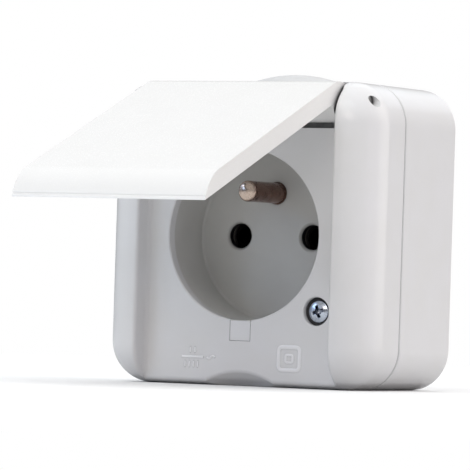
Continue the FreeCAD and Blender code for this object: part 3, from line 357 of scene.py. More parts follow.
def finished(name, group, surface, crevice, bands, metallic):
    # one Principled material: the surface group, then any bands, then the painted crevice shade
    material = bpy.data.materials.new(name)
    material.use_nodes = True
    tree = material.node_tree
    bsdf = tree.nodes["Principled BSDF"]
    bsdf.inputs["Metallic"].default_value = metallic
    skin = placeGroup(tree, group, surface)
    tree.links.new(skin.outputs["Roughness"], bsdf.inputs["Roughness"])
    tree.links.new(skin.outputs["Normal"], bsdf.inputs["Normal"])
    colour = skin.outputs["Colour"]
    for follower, values in [(bandTone, band) for band in bands] + [(paintedCreviceShade, crevice)]:
        node = placeGroup(tree, follower, values)
        tree.links.new(colour, node.inputs["Colour"])
        colour = node.outputs["Colour"]
    tree.links.new(colour, bsdf.inputs["Base Color"])
    return material


def plastic(name, skin, crevice, *bands):
    return finished(name, mouldedSkin, skin, crevice, bands, 0.0)


def metal(name, surface, crevice, *bands):
    return finished(name, machinedMetal, surface, crevice, bands, 1.0)


# each material's second table sets its painted shade: a darker tone in joints and corners, and a near-black
# tone deep inside holes
housingWhite = plastic("housingWhite",
    {"Colour": (0.80, 0.80, 0.81, 1), "Tint": (0.76, 0.755, 0.74, 1), "Tint amount": 0.35,
     "Grain size": 0.22, "Grain depth": 0.03, "Roughness": 0.15},
    {"Crease shade": (0.10, 0.098, 0.10, 1), "Reach": 0.0006, "Amount": 0.9, "Deep": (0.014, 0.012, 0.02, 1),
     "Deep reach": 0.003, "Deep amount": 1.0})
# a lighter copy of the cover's white for the raised marks: painted highlight for the light their rounded
# edges catch
markHighlightWhite = plastic("markHighlightWhite",
    {"Colour": (0.93, 0.93, 0.945, 1), "Tint": (0.88, 0.88, 0.89, 1), "Tint amount": 0.2,
     "Grain size": 0.22, "Grain depth": 0.05, "Roughness": 0.12},
    {"Crease shade": (0.5, 0.5, 0.52, 1), "Reach": 0.0003, "Amount": 0.3})
lidWhite = plastic("lidWhite",
    {"Colour": (0.85, 0.845, 0.833, 1), "Tint": (0.80, 0.795, 0.78, 1), "Tint amount": 0.25,
     "Grain size": 0.22, "Grain depth": 0.02, "Roughness": 0.2},
    {"Crease shade": (0.4, 0.39, 0.43, 1), "Reach": 0.0006, "Amount": 0.5, "Deep": (0.05, 0.05, 0.055, 1)})
# the well is the cover's white plastic made grey, as painted shade for the recess; the bands: the key of the
# well is white like the cover, and the pin holes are painted dark inside as painted shade
wellShadedWhite = plastic("wellShadedWhite",
    {"Colour": (0.60, 0.595, 0.575, 1), "Tint": (0.54, 0.53, 0.51, 1), "Tint amount": 0.4,
     "Grain size": 0.18, "Grain depth": 0.25, "Roughness": 0.42},
    {"Crease shade": (0.16, 0.15, 0.14, 1), "Reach": 0.0007, "Amount": 0.6, "Deep": (0.008, 0.007, 0.008, 1),
     "Deep reach": 0.008, "Deep amount": 1.0},
    {"Band": (0.80, 0.80, 0.81, 1), "Axis": (0.0, 0.0, -1.0), "Start": 19.88, "End": 19.95},
    {"Band": (0.012, 0.010, 0.012, 1), "Axis": (0.0, 1.0, 0.0), "Start": -21.1, "End": -20.2})
grommetGrey = plastic("grommetGrey",
    {"Colour": (0.66, 0.665, 0.67, 1), "Tint": (0.6, 0.6, 0.6, 1), "Tint amount": 0.4,
     "Grain size": 0.12, "Grain depth": 0.35, "Roughness": 0.6},
    {"Crease shade": (0.3, 0.3, 0.3, 1), "Reach": 0.001, "Amount": 0.4})
sealBlack = plastic("sealBlack",
    {"Colour": (0.03, 0.03, 0.033, 1), "Tint": (0.06, 0.06, 0.06, 1), "Tint amount": 0.4,
     "Grain size": 0.1, "Grain depth": 0.4, "Roughness": 0.65},
    {"Crease shade": (0.02, 0.02, 0.02, 1), "Reach": 0.001, "Amount": 0.2})
carrierCream = plastic("carrierCream",
    {"Colour": (0.62, 0.6, 0.54, 1), "Tint": (0.5, 0.48, 0.42, 1), "Tint amount": 0.5,
     "Grain size": 0.2, "Grain depth": 0.4, "Roughness": 0.55},
    {"Crease shade": (0.3, 0.28, 0.24, 1), "Reach": 0.002, "Amount": 0.3})
# the band: plugs have rubbed the tip of the earth pin bright
nickelBrown = metal("nickelBrown",
    {"Colour": (0.25, 0.15, 0.12, 1), "Stain": (0.11, 0.062, 0.05, 1), "Stain amount": 0.5,
     "Lines": (500.0, 7000.0, 500.0), "Line depth": 0.12, "Roughness": 0.16},
    {"Crease shade": (0.03, 0.02, 0.018, 1), "Reach": 0.0008, "Amount": 0.6},
    {"Band": (0.62, 0.50, 0.42, 1), "Axis": (0.0, -1.0, 0.0), "Start": 34.7, "End": 35.3})
zincBlue = metal("zincBlue",
    {"Colour": (0.66, 0.72, 0.82, 1), "Stain": (0.45, 0.48, 0.58, 1), "Stain amount": 0.3,
     "Lines": (1500.0, 1500.0, 1500.0), "Line depth": 0.2, "Roughness": 0.16},
    {"Crease shade": (0.08, 0.09, 0.14, 1), "Reach": 0.0009, "Amount": 0.95, "Deep": (0.01, 0.01, 0.02, 1),
     "Deep reach": 0.0016, "Deep amount": 0.95})
plainSteel = metal("plainSteel",
    {"Colour": (0.5, 0.5, 0.5, 1), "Stain": (0.3, 0.3, 0.3, 1), "Stain amount": 0.4,
     "Lines": (6000.0, 400.0, 400.0), "Line depth": 0.2, "Roughness": 0.3},
    {"Crease shade": (0.1, 0.1, 0.1, 1), "Reach": 0.001, "Amount": 0.5})
# the band: the mouths of the sleeves are in the dark behind the pin holes
brassYellow = metal("brassYellow",
    {"Colour": (0.72, 0.55, 0.25, 1), "Stain": (0.4, 0.28, 0.12, 1), "Stain amount": 0.4,
     "Lines": (500.0, 500.0, 5000.0), "Line depth": 0.15, "Roughness": 0.3},
    {"Crease shade": (0.05, 0.035, 0.02, 1), "Reach": 0.001, "Amount": 0.5, "Deep": (0.004, 0.003, 0.003, 1),
     "Deep reach": 0.012, "Deep amount": 1.0},
    {"Band": (0.012, 0.009, 0.008, 1), "Axis": (0.0, -1.0, 0.0), "Start": 11.0, "End": 13.0})
print("materials ready")


# Carried-over nodes

carried = {
    housingWhite: ["back_box", "front_cover"],
    # the socket well takes the grey copy of the white plastic: painted shade
    wellShadedWhite: ["socket_well"],
    sealBlack: ["cover_gasket", "screw_seals"],
    carrierCream: ["carrier_body", "carrier_cap"],
    plainSteel: ["hinge_pin", "line_clip_spring", "neutral_clip_spring"],
    zincBlue: ["carrier_screws", "terminal_screws"],
    brassYellow: ["line_contact", "neutral_contact", "earth_strap",
                  "line_clamp", "neutral_clamp", "earth_clamp"],
}
for material, names in carried.items():
    for name in names:
        nodes[name].data.materials.clear()
        nodes[name].data.materials.append(material)
print("nodes finished")


# Lid

lidShape = {
    "hinge": (35.5, 30.25),       # wall to the axis, height of the axis
    "openDeg": 67.0,              # opening in the photograph
    "halfWidth": 24.45,
    "face": -5.25,                # outer face, measured from the axis towards the front
    "rim": -1.0,                  # edge of the side walls
    "top": 4.1,
    "reach": 64.9,
    "topRound": 6.8,
    "lipRound": 9.3,
    "skin": 2.0,
    "sideWall": 1.8,
    "barrel": 4.9,
    "core": 3.0,                  # radius inside the crown of the lid
    "bore": 1.25,
    "tuck": 0.02,                 # what lies inside another face keeps this far from it
    "sharpAbove": 38,
    "softEdge": 0.45,
    "barrelEdge": 0.2,
    "lipLine": (0.8, 0.2, 0.09),  # fine groove round the lip: height above the rim, half width, depth
    "fineShare": 0.18,            # part of the lip, from the rim, that has closer points for that groove
}


def openLid(points, shape):
    # turns closed-lid points (x, from the axis outwards, up) about the hinge to the photographed opening
    a = math.radians(shape["openDeg"])
    x, u, v = points[..., 0], points[..., 1], points[..., 2]
    return np.stack([x, u * math.cos(a) + v * math.sin(a) - shape["hinge"][0],
                     -u * math.sin(a) + v * math.cos(a) + shape["hinge"][1]], axis=-1)


def crownMeets(s):
    # where the crown's circle cuts the barrel's: its angle on the crown, and the angle on the barrel
    cx, cz, r = s["face"] + s["topRound"], s["top"] - s["topRound"], s["topRound"]
    far = math.hypot(cx, cz)
    onCrown = math.acos((s["barrel"] ** 2 - far ** 2 - r ** 2) / (2 * r * far)) + math.atan2(cz, cx)
    onBarrel = math.atan2(cz + r * math.sin(onCrown), cx + r * math.cos(onCrown))
    return math.degrees(onCrown), math.degrees(onBarrel)


def lidSections(s):
    # outlines of the lid seen from its side, as loops of equal length: solid, and with its hollow;
    # the lip is an arc whose radius dips by a bell curve at the groove
    lip, t = s["lipRound"], s["skin"]
    onCrown, onBarrel = crownMeets(s)
    sweep = math.degrees(math.acos((lip - (s["rim"] - s["face"])) / lip))
    foot = -s["reach"] - lip * (1 - math.sin(math.radians(sweep)))
    fine = s["fineShare"]
    spacing = np.concatenate([np.linspace(0, fine, 22)[:-1], np.linspace(fine, 1, 20)])
    a = np.radians(180 + sweep * (1 - spacing))
    up, half, depth = s["lipLine"]
    rise = (math.radians(180 + sweep) - a) * lip
    r = lip - depth * np.exp(-((rise - up) / half) ** 2)
    outerLip = np.stack([s["face"] + lip + r * np.cos(a), foot + lip + r * np.sin(a)], axis=1)
    face = line((s["face"], foot + lip), (s["face"], s["top"] - s["topRound"]), 30)[1:-1]
    crown = arc((s["face"] + s["topRound"], s["top"] - s["topRound"]), s["topRound"], 180, onCrown, 28)
    core = arc((0, 0), s["core"], onBarrel, 270, 24)
    web = -s["barrel"]
    under = np.array([(0, web), (s["rim"], web), (s["rim"], web - t)])
    inner = arc((s["face"] + lip, foot + lip), lip - t, 180, 180 + sweep + 8, 22)
    inner = inner[inner[:, 0] < s["rim"]]      # the arc runs a little too far and is cut at the rim
    ceiling = line((s["face"] + t, web - t), (s["face"] + t, foot + lip), 30)[:-1]
    last = np.array([(s["rim"], inner[-1, 1])])
    hollow = np.concatenate([outerLip, face, crown, core, under, ceiling, inner, last])
    count = len(ceiling) + len(inner)
    heights = np.linspace(web - t - s["tuck"], last[0, 1] + s["tuck"], count)
    pressed = np.stack([np.full(count, s["rim"]), heights], axis=1)
    solid = np.concatenate([outerLip, face, crown, core, under, pressed, last])
    return solid, hollow


def stationPoints(stations):
    # one outline (from the axis outwards, up) at each place across the lid
    return np.stack([np.column_stack([np.full(len(loop), x), loop]) for x, loop in stations])


def makeLidShell(s):
    # one loop per station across the width; the side walls use the solid outline
    solid, hollow = lidSections(s)
    w, side = s["halfWidth"], s["sideWall"]
    stations = [(-w, solid), (-w + side, solid), (-w + side, hollow)]
    stations += [(x, hollow) for x in np.linspace(-w + side, w - side, 18)[1:-1]]
    stations += [(w - side, hollow), (w - side, solid), (w, solid)]
    points = stationPoints(stations)
    rows, cols = points.shape[:2]
    quads = gridQuads(rows, cols, loopCols=True)
    shell = meshObject("lidShell", openLid(points, s), quads, firstAndLast(rows, cols))
    outward(shell)
    smoothEdges(shell, s["sharpAbove"], s["softEdge"])
    settle(shell, "lid_body", "housing_plastic", lidWhite, "lid")


def makeLidBarrel(s):
    # tube about the hinge axis: full radius at the back, the thinner core inside the lid's crown
    meets = crownMeets(s)[1]
    back = np.radians(np.linspace(-90, meets, 40))
    front = np.radians(np.linspace(meets, 270, 40))
    angles = np.concatenate([back, front])
    reach = np.concatenate([np.full(40, s["barrel"]), np.full(40, s["core"] - s["tuck"])])
    ring = np.stack([np.cos(angles), np.sin(angles)], axis=1)
    outer, bore = ring * reach[:, None], ring * s["bore"]
    x = np.linspace(-s["halfWidth"], s["halfWidth"], 16)
    points = stationPoints([(x[0], bore)] + [(at, outer) for at in x] + [(x[-1], bore)])
    quads = gridQuads(len(points), len(ring), loopRows=True, loopCols=True)
    barrel = meshObject("lidBarrel", openLid(points, s), quads)
    outward(barrel)
    smoothEdges(barrel, s["sharpAbove"], s["barrelEdge"], 2)
    settle(barrel, "lid_body", "housing_plastic", lidWhite)


lidRings = {
    "drop": 30.6,                 # hinge axis down to the middle of the rings
    "edge": 0.3,                  # rounding of their edges
    "seal": (20.5, 22.2, 0.0, -0.85),   # inner radius, outer radius, sunk into the ceiling, end
    "rib": (19.25, 20.45, 0.1, -2.05),
}


def makeLidRing(name, ring, slot, material, *stoodFor):
    # a rectangle with rounded corners (radius, depth) carried round the middle of the well
    inner, outer, sunk, high = ring
    low = lidShape["face"] + lidShape["skin"] - sunk
    e = lidRings["edge"]
    section = np.concatenate([
        arc((inner + e, low + e), e, 180, 270, 5), arc((outer - e, low + e), e, 270, 360, 5),
        arc((outer - e, high - e), e, 0, 90, 5), arc((inner + e, high - e), e, 90, 180, 5)])
    a = np.linspace(0, 2 * np.pi, 128, endpoint=False)
    x = section[:, :1] * np.cos(a)
    v = section[:, :1] * np.sin(a) - lidRings["drop"]
    u = np.repeat(section[:, 1:], len(a), axis=1)
    quads = gridQuads(len(section), len(a), loopRows=True, loopCols=True)
    piece = meshObject(name, openLid(np.stack([x, u, v], axis=-1), lidShape), quads)
    outward(piece)
    smoothEdges(piece, 60)
    settle(piece, "lid_body", slot, material, *stoodFor)


makeLidShell(lidShape)
makeLidBarrel(lidShape)
makeLidRing("lidSeal", lidRings["seal"], "seal_rubber", sealBlack, "lid_seal")
makeLidRing("lidRib", lidRings["rib"], "housing_plastic", lidWhite)
print("lid made")


# Earth pin

earthPin = {
    "height": 9.65,
    "floor": 21.2,                # wall to the floor of the well
    "length": 14.4,
    "radius": 2.4,
    "tipRound": 0.75,
    "tipCrown": 0.3,              # rise of the slightly domed end
    "foot": (2.58, 0.4),          # radius and height of the foot on the floor
    "footEdge": (0.1, 0.06),      # bevel on the foot: height, width
    # collar and neck behind the floor: distance from the wall, radius
    "root": [(15.6, poleRadius), (15.6, 2.0), (16.6, 2.0), (16.6, 1.5),
             (17.4, 1.5), (17.4, 3.8), (19.0, 3.8)],
}


def makeEarthPin(s):
    # outline (distance out, radius) turned about the pin's axis; the end is a low dome, its rise a parabola
    tip, r, e = s["floor"] + s["length"] - s["tipCrown"], s["radius"], s["tipRound"]
    foot, rise = s["foot"]
    bevelUp, bevelIn = s["footEdge"]
    top = s["floor"] + rise
    end = line((tip, r - e), (tip, poleRadius), 16)[1:]
    end[:, 0] += s["tipCrown"] * (1 - (end[:, 1] / (r - e)) ** 2)
    base = s["root"] + [(s["root"][-1][0], foot), (top - bevelUp, foot), (top, foot - bevelIn)]
    side = line((top, r), (tip - e, r), 30)
    rounding = arc((tip - e, r - e), e, 90, 0, 12)[1:]
    profile = np.concatenate([base, side, rounding, end])
    points, quads = turned(profile, 72, lambda along, across, up: np.stack(
        [across, -along, up + s["height"]], axis=-1))
    pin = meshObject("earthPinTurned", points, quads)
    outward(pin, poleMerge)
    smoothEdges(pin, 45)
    settle(pin, "housing", "pin_metal", nickelBrown, "earth_pin")


makeEarthPin(earthPin)
print("earth pin made")


# Cover screws

coverScrew = {
    "spots": [(19.5, -17.25), (-19.5, 16.55)],
    "turnDeg": [17.0, 57.0],      # how far each driver recess is turned
    "seat": 33.85,                # wall to the underside of the head
    "height": 1.6,
    "radius": 2.5,
    "crown": 0.5,                 # rise of the domed top
    "rim": 0.15,                  # width of the rounded rim
    "rimSteps": [(0.06, 0.04), (0.18, 0.0)],    # its points: below the dome's edge, inside the radius
    "seatSteps": [(0.1, 0.0), (0.0, 0.08)],     # the same at the underside: above the seat, inside the radius
    "armHalf": 0.4,               # half width of the cross arms
    "armReach": 1.45,
    "armRunOut": (0.12, 0.45),    # slope at the sides and at the ends
    "armDepth": 0.75,             # share of the full depth
    "notchHalf": 0.14,            # the small notches between the arms
    "notchReach": 0.95,
    "notchDepth": 0.5,
    "point": (0.95, 0.9, 0.25),   # the middle goes deeper: where it starts, over what width, extra share
    "depth": 1.15,
    "shank": 1.45,
    "tip": 11.0,
    "taper": 0.6,
    "around": 160,                # points round the axis
}


def slotMask(along, across, half, reach, runOut):
    # 1 inside a slot, 0 outside, with a smooth step at its sides and a straight one at its ends
    side = np.clip((half - np.abs(across)) / runOut[0], 0, 1)
    end = np.clip((reach - np.abs(along)) / runOut[1], 0, 1)
    return (side * side * (3 - 2 * side)) * end


def crossMask(ax, az, half, reach, runOut):
    return np.maximum(slotMask(ax, az, half, reach, runOut), slotMask(az, ax, half, reach, runOut))


def screwPoints(s, x, z, turnDeg):
    # top: dome (a parabola) minus the driver recess on a polar grid; then rim, seat, shank and tip as rings
    dome = s["radius"] - s["rim"]
    r = (np.linspace(poleRadius, 1, 46) ** 0.9 * dome)[:, None]
    a = np.linspace(0, 2 * np.pi, s["around"], endpoint=False)[None, :]
    px, pz = r * np.cos(a), r * np.sin(a)
    turn = math.radians(turnDeg)
    ax, az = px * math.cos(turn) + pz * math.sin(turn), -px * math.sin(turn) + pz * math.cos(turn)
    cross = crossMask(ax, az, s["armHalf"], s["armReach"], s["armRunOut"])
    diagonal = 0.7071    # cosine of 45 degrees
    dx, dz = (ax + az) * diagonal, (az - ax) * diagonal
    notch = crossMask(dx, dz, s["notchHalf"], s["notchReach"], s["armRunOut"])
    start, width, extra = s["point"]
    point = np.clip((start - r) / width, 0, 1) * extra
    depth = np.maximum(cross * (s["armDepth"] + point), notch * s["notchDepth"]) * s["depth"]
    top = s["seat"] + s["height"] - s["crown"] * (r / s["radius"]) ** 2 - depth
    head = np.stack([px, top + 0 * a, pz], axis=-1)
    edge = s["seat"] + s["height"] - s["crown"] * (dome / s["radius"]) ** 2
    rings = [(edge - down, s["radius"] - inside) for down, inside in s["rimSteps"]]
    rings += [(s["seat"] + up, s["radius"] - inside) for up, inside in s["seatSteps"]]
    rings += [(s["seat"], s["shank"]), (s["tip"] + s["taper"], s["shank"]),
              (s["tip"], s["shank"] * 0.5), (s["tip"], poleRadius)]
    rings = np.array(rings)
    out = np.repeat(rings[:, :1], s["around"], axis=1)
    rest = np.stack([rings[:, 1:] * np.cos(a), out, rings[:, 1:] * np.sin(a)], axis=-1)
    body = np.concatenate([head, rest])
    return np.stack([body[..., 0] + x, -body[..., 1], body[..., 2] + z], axis=-1)


def makeCoverScrews(s):
    points, quads = [], []
    for (x, z), turnDeg in zip(s["spots"], s["turnDeg"]):
        one = screwPoints(s, x, z, turnDeg)
        quads.append(gridQuads(len(one), s["around"], loopCols=True, start=sum(len(p) for p in points)))
        points.append(one.reshape(-1, 3))
    screws = meshObject("coverScrewHeads", np.concatenate(points), np.concatenate(quads))
    outward(screws, poleMerge)
    smoothEdges(screws, 50)
    settle(screws, "housing", "zinc_steel", zincBlue, "cover_screws")


makeCoverScrews(coverScrew)
print("cover screws made")


# Cable grommet

grommet = {
    "out": 12.2,                  # wall to the middle of the grommet
    "base": 34.75,                # height of the top of the box
    "dome": 10.7,                 # radius of the domed skin
    "rise": 2.65,                 # its middle above the box
    "fall": 1.95,                 # from there down to its edge
    "grooves": (2.6, 4.3, 6.0, 7.7),
    "grooveDepth": 0.14,
    "grooveHalf": 0.16,
    # flange, neck in the hole, lower lip and the inside: height above the box, radius
    "under": [(0.45, 10.92), (0.25, 11.0), (0.05, 10.98), (0.0, 10.8), (0.0, 8.45), (-2.45, 8.45),
              (-2.45, 9.6), (-2.7, 9.8), (-3.4, 9.8), (-3.65, 9.5), (-3.65, 6.2), (-6.4, 6.1),
              (-6.6, 5.9), (-6.65, 5.5), (-6.6, 5.0), (-6.3, 4.9), (-0.8, 4.9), (-0.6, 4.6),
              (-0.6, poleRadius)],
}


def makeGrommet(s):
    # outline (height, radius) turned about an upright axis: the skin is a parabola with a bell curve cut
    # out of it at each groove, where it is opened to suit the cable
    r = np.linspace(0.0, s["dome"], 90)
    grooves = sum(np.exp(-((r - at) / s["grooveHalf"]) ** 2) for at in s["grooves"]) * s["grooveDepth"]
    skin = s["rise"] - s["fall"] * (r / s["dome"]) ** 2 - grooves
    profile = np.concatenate([np.stack([skin, np.maximum(r, poleRadius)], axis=1), s["under"]])
    points, quads = turned(profile, 96, lambda along, across, up: np.stack(
        [across, up - s["out"], along + s["base"]], axis=-1))
    piece = meshObject("grommetSkin", points, quads)
    outward(piece, poleMerge)
    smoothEdges(piece, 50)
    settle(piece, "housing", "grommet_rubber", grommetGrey, "cable_grommet")


makeGrommet(grommet)
print("grommet made")


# Raised marks on the plate: plain shapes only

marks = {
    "plate": 36.2,                # wall to the plate
    "height": 0.15,
    "sink": 0.05,                 # how far the ridges reach into the plate
    "ruleWidth": 0.62,
    "rule": ((-15.1, -28.45), (-9.4, -28.45)),
    "waveWidth": 0.496,
    "wave": (-7.45, -28.45, 1.05, 0.32),          # middle, half length, half height
    "tallyWidth": 0.434,
    "tallies": [((-12.9, -11.7), -27.5, -26.2),   # places, lower end, upper end
                ((-14.2, -13.1, -12.0, -10.9), -30.8, -29.4)],
    "frameWidth": 0.95,
    "frame": (12.95, -28.1, 2.7, 2.6, 0.9),       # middle, half width, half height, corner radius
    "square": (12.95, -28.1, 0.9, 0.85, 0.4),
}


def ridge(path, closed, width, s):
    # low rounded ridge: a half ellipse (across, out) carried along a path in the plane of the plate
    path = np.asarray(path, float)
    ahead = np.roll(path, -1, axis=0) - np.roll(path, 1, axis=0)
    if not closed:
        ahead[0], ahead[-1] = path[1] - path[0], path[-1] - path[-2]
    ahead /= np.linalg.norm(ahead, axis=1, keepdims=True)
    sideways = np.stack([-ahead[:, 1], ahead[:, 0]], axis=1)
    a = np.linspace(0, np.pi, 9)
    across = np.concatenate([np.cos(a), [-1.0, 1.0]]) * width / 2
    out = np.concatenate([np.sin(a) * s["height"], [-s["sink"], -s["sink"]]])
    flat = path[:, None, :] + sideways[:, None, :] * across[None, :, None]
    depth = np.broadcast_to(s["plate"] + out, flat.shape[:2])
    return np.stack([flat[..., 0], -depth, flat[..., 1]], axis=-1)


def roundedSquare(cx, cz, halfX, halfZ, radius):
    # four quarter arcs; the ridge runs straight from one to the next
    dx, dz = halfX - radius, halfZ - radius
    corners = [(cx + dx, cz + dz, 0), (cx - dx, cz + dz, 90),
               (cx - dx, cz - dz, 180), (cx + dx, cz - dz, 270)]
    return np.concatenate([arc((x, z), radius, start, start + 90, 8) for x, z, start in corners])


def makeMarks(s):
    # a rule with a wave (one turn of a sine) and tally bars, and a frame with a small square in it
    cx, cz, half, rise = s["wave"]
    t = np.linspace(-1, 1, 30)
    wave = np.stack([cx + half * t, cz + rise * np.sin(t * np.pi)], axis=1)
    shapes = [(line(*s["rule"], 12), False, s["ruleWidth"]),
              (wave, False, s["waveWidth"]),
              (roundedSquare(*s["frame"]), True, s["frameWidth"]),
              (roundedSquare(*s["square"]), True, s["ruleWidth"])]
    for places, low, high in s["tallies"]:
        shapes += [(line((x, low), (x, high), 6), False, s["tallyWidth"]) for x in places]
    points, quads, ends, start = [], [], [], 0
    for path, closed, width in shapes:
        one = ridge(path, closed, width, s)
        rows, cols = one.shape[:2]
        points.append(one.reshape(-1, 3))
        quads.append(gridQuads(rows, cols, loopRows=closed, loopCols=True, start=start))
        ends += [] if closed else firstAndLast(rows, cols, start)
        start += rows * cols
    piece = meshObject("plateMarks", np.concatenate(points), np.concatenate(quads), ends)
    outward(piece, 1e-9)
    smoothEdges(piece, 60)
    # the lighter white on the marks is painted highlight
    settle(piece, "housing", "housing_plastic", markHighlightWhite)


makeMarks(marks)
print("marks made")


# Roots of the jambs, where their fillet runs out at the foot

jambRoots = {
    "wall": 25.05,                # middle of the cover to the side of the jamb
    "plate": 36.2,
    "top": -31.5,
    "endsAt": -31.76,             # where the cover's own fillet stops
    "bottom": -34.0,
    "radius": 0.985,
    "least": 0.01,                # share of the radius that is left at the bottom
    "sink": 0.04,                 # how far the strip reaches into wall and plate
    "footRound": 1.2,
    "turnsIn": -33.05,            # where the plate's lower rounding starts
}


def makeJambRoots(s):
    # concave quarter circle in the corner of wall and plate: its radius falls in a straight line from where
    # the cover's fillet stops to the bottom, while the plate itself turns in along its lower rounding
    z = np.linspace(s["top"], s["bottom"], 24)
    share = (z - s["bottom"]) / (s["endsAt"] - s["bottom"])
    radius = (s["radius"] * np.clip(share, s["least"], 1))[:, None]
    below = np.clip(s["turnsIn"] - z, 0, s["footRound"])
    plate = (s["plate"] - s["footRound"] + np.sqrt(s["footRound"] ** 2 - below ** 2))[:, None]
    a = np.radians(np.linspace(270, 180, 10))
    fromWall = np.concatenate([radius + radius * np.cos(a), np.full_like(radius, -s["sink"])], axis=1)
    out = np.concatenate([plate + radius + radius * np.sin(a), plate - s["sink"]], axis=1)
    rows, cols = out.shape
    height = np.repeat(z[:, None], cols, axis=1)
    points, quads, ends = [], [], []
    for side, start in ((-1, 0), (1, rows * cols)):
        points.append(np.stack([side * (s["wall"] - fromWall), -out, height], axis=-1).reshape(-1, 3))
        quads.append(gridQuads(rows, cols, loopCols=True, start=start))
        ends += firstAndLast(rows, cols, start)
    piece = meshObject("jambRoots", np.concatenate(points), np.concatenate(quads), ends)
    outward(piece)
    smoothEdges(piece, 60)
    settle(piece, "housing", "housing_plastic", housingWhite)


makeJambRoots(jambRoots)
print("jamb roots made")


# Stage, light and camera

studio = {
    "floorLevel": -34.75,
    "floorColour": (0.95, 0.95, 0.95, 1),
    "floorBounce": (0.66, 0.66, 0.66, 1),   # what the floor throws back at the object
    "fade": (160.0, 420.0),       # the floor turns into the white of the backdrop between these distances
    "sky": (1, 1, 1, 1),          # at the zenith; it falls to the level colour at the horizon
    "level": (0, 0, 0.004, 1),
    "skyStrength": 1.33,
    "aim": (0, -0.03, 0),         # where every lamp points
    "lights": {
        # name: place, width, height, watts, colour
        "aboveFront": ((-0.1, -0.8, 0.8), 0.8, 0.6, 2.0, (0.92, 1.0, 0.97)),
        "rightWindow": ((1.0, -0.1, 0.3), 0.8, 0.8, 0.85, (0.95, 0.8, 1.0)),
        "rightBack": ((0.9, 0.6, 0.35), 0.8, 0.8, 3.45, (1.0, 0.95, 0.88)),
        "behind": ((0.0, 0.9, 0.8), 0.8, 0.8, 1.23, (0.82, 0.9, 1.0)),
        "frontFill": ((0.15, -1.0, 0.36), 0.5, 0.3, 1.26, (1.0, 0.88, 0.82)),
        "leftFill": ((-0.7, -0.8, 0.32), 0.5, 0.3, 1.0, (0.4, 0.62, 1.0)),
        "glintLeft": ((-0.85, -0.64, 0.5), 0.06, 0.06, 0.35, (0.9, 0.95, 1.0)),
        "glintMiddle": ((-0.62, -0.86, 0.5), 0.05, 0.05, 0.3, (0.9, 0.95, 1.0)),
    },
}


def makeFloor(s):
    # plain sheet; away from the object it fades into the backdrop's white
    x, y = np.meshgrid(np.linspace(-6000, 6000, 5), np.linspace(-4000, 8000, 5))
    points = np.stack([x, y, np.full_like(x, s["floorLevel"])], axis=-1)
    floor = meshObject("studioFloor", points, gridQuads(5, 5))
    material = bpy.data.materials.new("paleFloor")
    material.use_nodes = True
    tree = material.node_tree
    link = tree.links.new
    bsdf = tree.nodes["Principled BSDF"]
    bsdf.inputs["Roughness"].default_value = 0.9
    bsdf.inputs["Specular IOR Level"].default_value = 0.0
    seen = tree.nodes.new("ShaderNodeLightPath")
    mix = add(tree, "ShaderNodeMix", data_type="RGBA")
    mix.inputs[6].default_value = s["floorBounce"]
    mix.inputs[7].default_value = s["floorColour"]
    link(seen.outputs["Is Camera Ray"], mix.inputs[0])
    link(mix.outputs[2], bsdf.inputs["Base Color"])
    coord = tree.nodes.new("ShaderNodeTexCoord")
    away = add(tree, "ShaderNodeVectorMath", operation="LENGTH")
    link(coord.outputs["Object"], away.inputs[0])
    near, far = s["fade"]
    fade = ranged(tree, away.outputs["Value"], near * mm, far * mm, interpolation_type="SMOOTHSTEP")
    white = add(tree, "ShaderNodeEmission")
    blend = tree.nodes.new("ShaderNodeMixShader")
    link(product(tree, fade, seen.outputs["Is Camera Ray"]), blend.inputs[0])
    link(bsdf.outputs[0], blend.inputs[1])
    link(white.outputs[0], blend.inputs[2])
    link(blend.outputs[0], tree.nodes["Material Output"].inputs["Surface"])
    floor.data.materials.append(material)


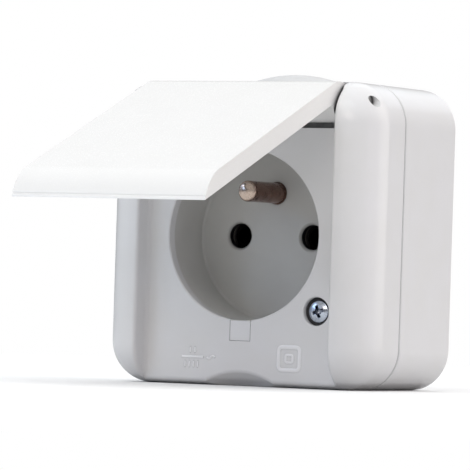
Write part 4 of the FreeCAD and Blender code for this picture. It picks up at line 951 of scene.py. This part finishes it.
def makeWorld(s):
    # soft overhead sky: brightest at the zenith, nothing below the horizon; plain white behind the object
    world = bpy.data.worlds.new("studioWorld")
    bpy.context.scene.world = world
    world.use_nodes = True
    tree = world.node_tree
    link = tree.links.new
    coord = tree.nodes.new("ShaderNodeTexCoord")
    apart = tree.nodes.new("ShaderNodeSeparateXYZ")
    link(coord.outputs["Generated"], apart.inputs[0])
    ramp = tree.nodes.new("ShaderNodeValToRGB")
    ramp.color_ramp.elements[0].color = s["level"]
    ramp.color_ramp.elements[1].color = s["sky"]
    link(apart.outputs["Z"], ramp.inputs[0])
    background = tree.nodes["Background"]
    background.inputs["Strength"].default_value = s["skyStrength"]
    link(ramp.outputs[0], background.inputs["Color"])
    white = tree.nodes.new("ShaderNodeBackground")
    white.inputs["Color"].default_value = (1, 1, 1, 1)
    seen = tree.nodes.new("ShaderNodeLightPath")
    mix = tree.nodes.new("ShaderNodeMixShader")
    link(seen.outputs["Is Camera Ray"], mix.inputs[0])
    link(background.outputs[0], mix.inputs[1])
    link(white.outputs[0], mix.inputs[2])
    link(mix.outputs[0], tree.nodes["World Output"].inputs["Surface"])


def placed(right, up, back, place):
    # matrix whose columns are the three directions and the place
    return Matrix([[right[i], up[i], back[i], place[i]] for i in range(3)] + [[0, 0, 0, 1]])


def makeLights(s):
    # each lamp looks from its place at the aim, with its width level
    for name, (place, width, height, watts, colour) in s["lights"].items():
        lamp = bpy.data.lights.new(name, "AREA")
        lamp.shape = "RECTANGLE"
        lamp.size, lamp.size_y = width, height
        lamp.energy = watts
        lamp.color = colour
        source = bpy.data.objects.new(name, lamp)
        bpy.context.scene.collection.objects.link(source)
        away = np.asarray(place, float) - np.asarray(s["aim"], float)
        away /= np.linalg.norm(away)
        side = np.cross((0, 0, 1), away)
        side /= np.linalg.norm(side)
        source.matrix_world = placed(side, np.cross(away, side), away, place)


photoCamera = {
    "place": (0.49956, -0.9077, -0.01535),
    "right": (0.86697, 0.49733, 0.03246),
    "up": (-0.02094, -0.02873, 0.99941),
    "back": (0.49795, -0.86711, -0.01449),
    "lens": 338.5,
    "shift": (-0.00977, 0.0034),
}


def makeCamera(s):
    data = bpy.data.cameras.new("photoCamera")
    data.sensor_width = 36.0
    data.lens = s["lens"]
    data.shift_x, data.shift_y = s["shift"]
    data.clip_start = 0.01
    camera = bpy.data.objects.new("photoCamera", data)
    bpy.context.scene.collection.objects.link(camera)
    camera.matrix_world = placed(s["right"], s["up"], s["back"], s["place"])
    bpy.context.scene.camera = camera


makeFloor(studio)
makeWorld(studio)
makeLights(studio)
makeCamera(photoCamera)
bpy.context.scene.view_settings.view_transform = "Standard"
print("stage, lights and camera ready")
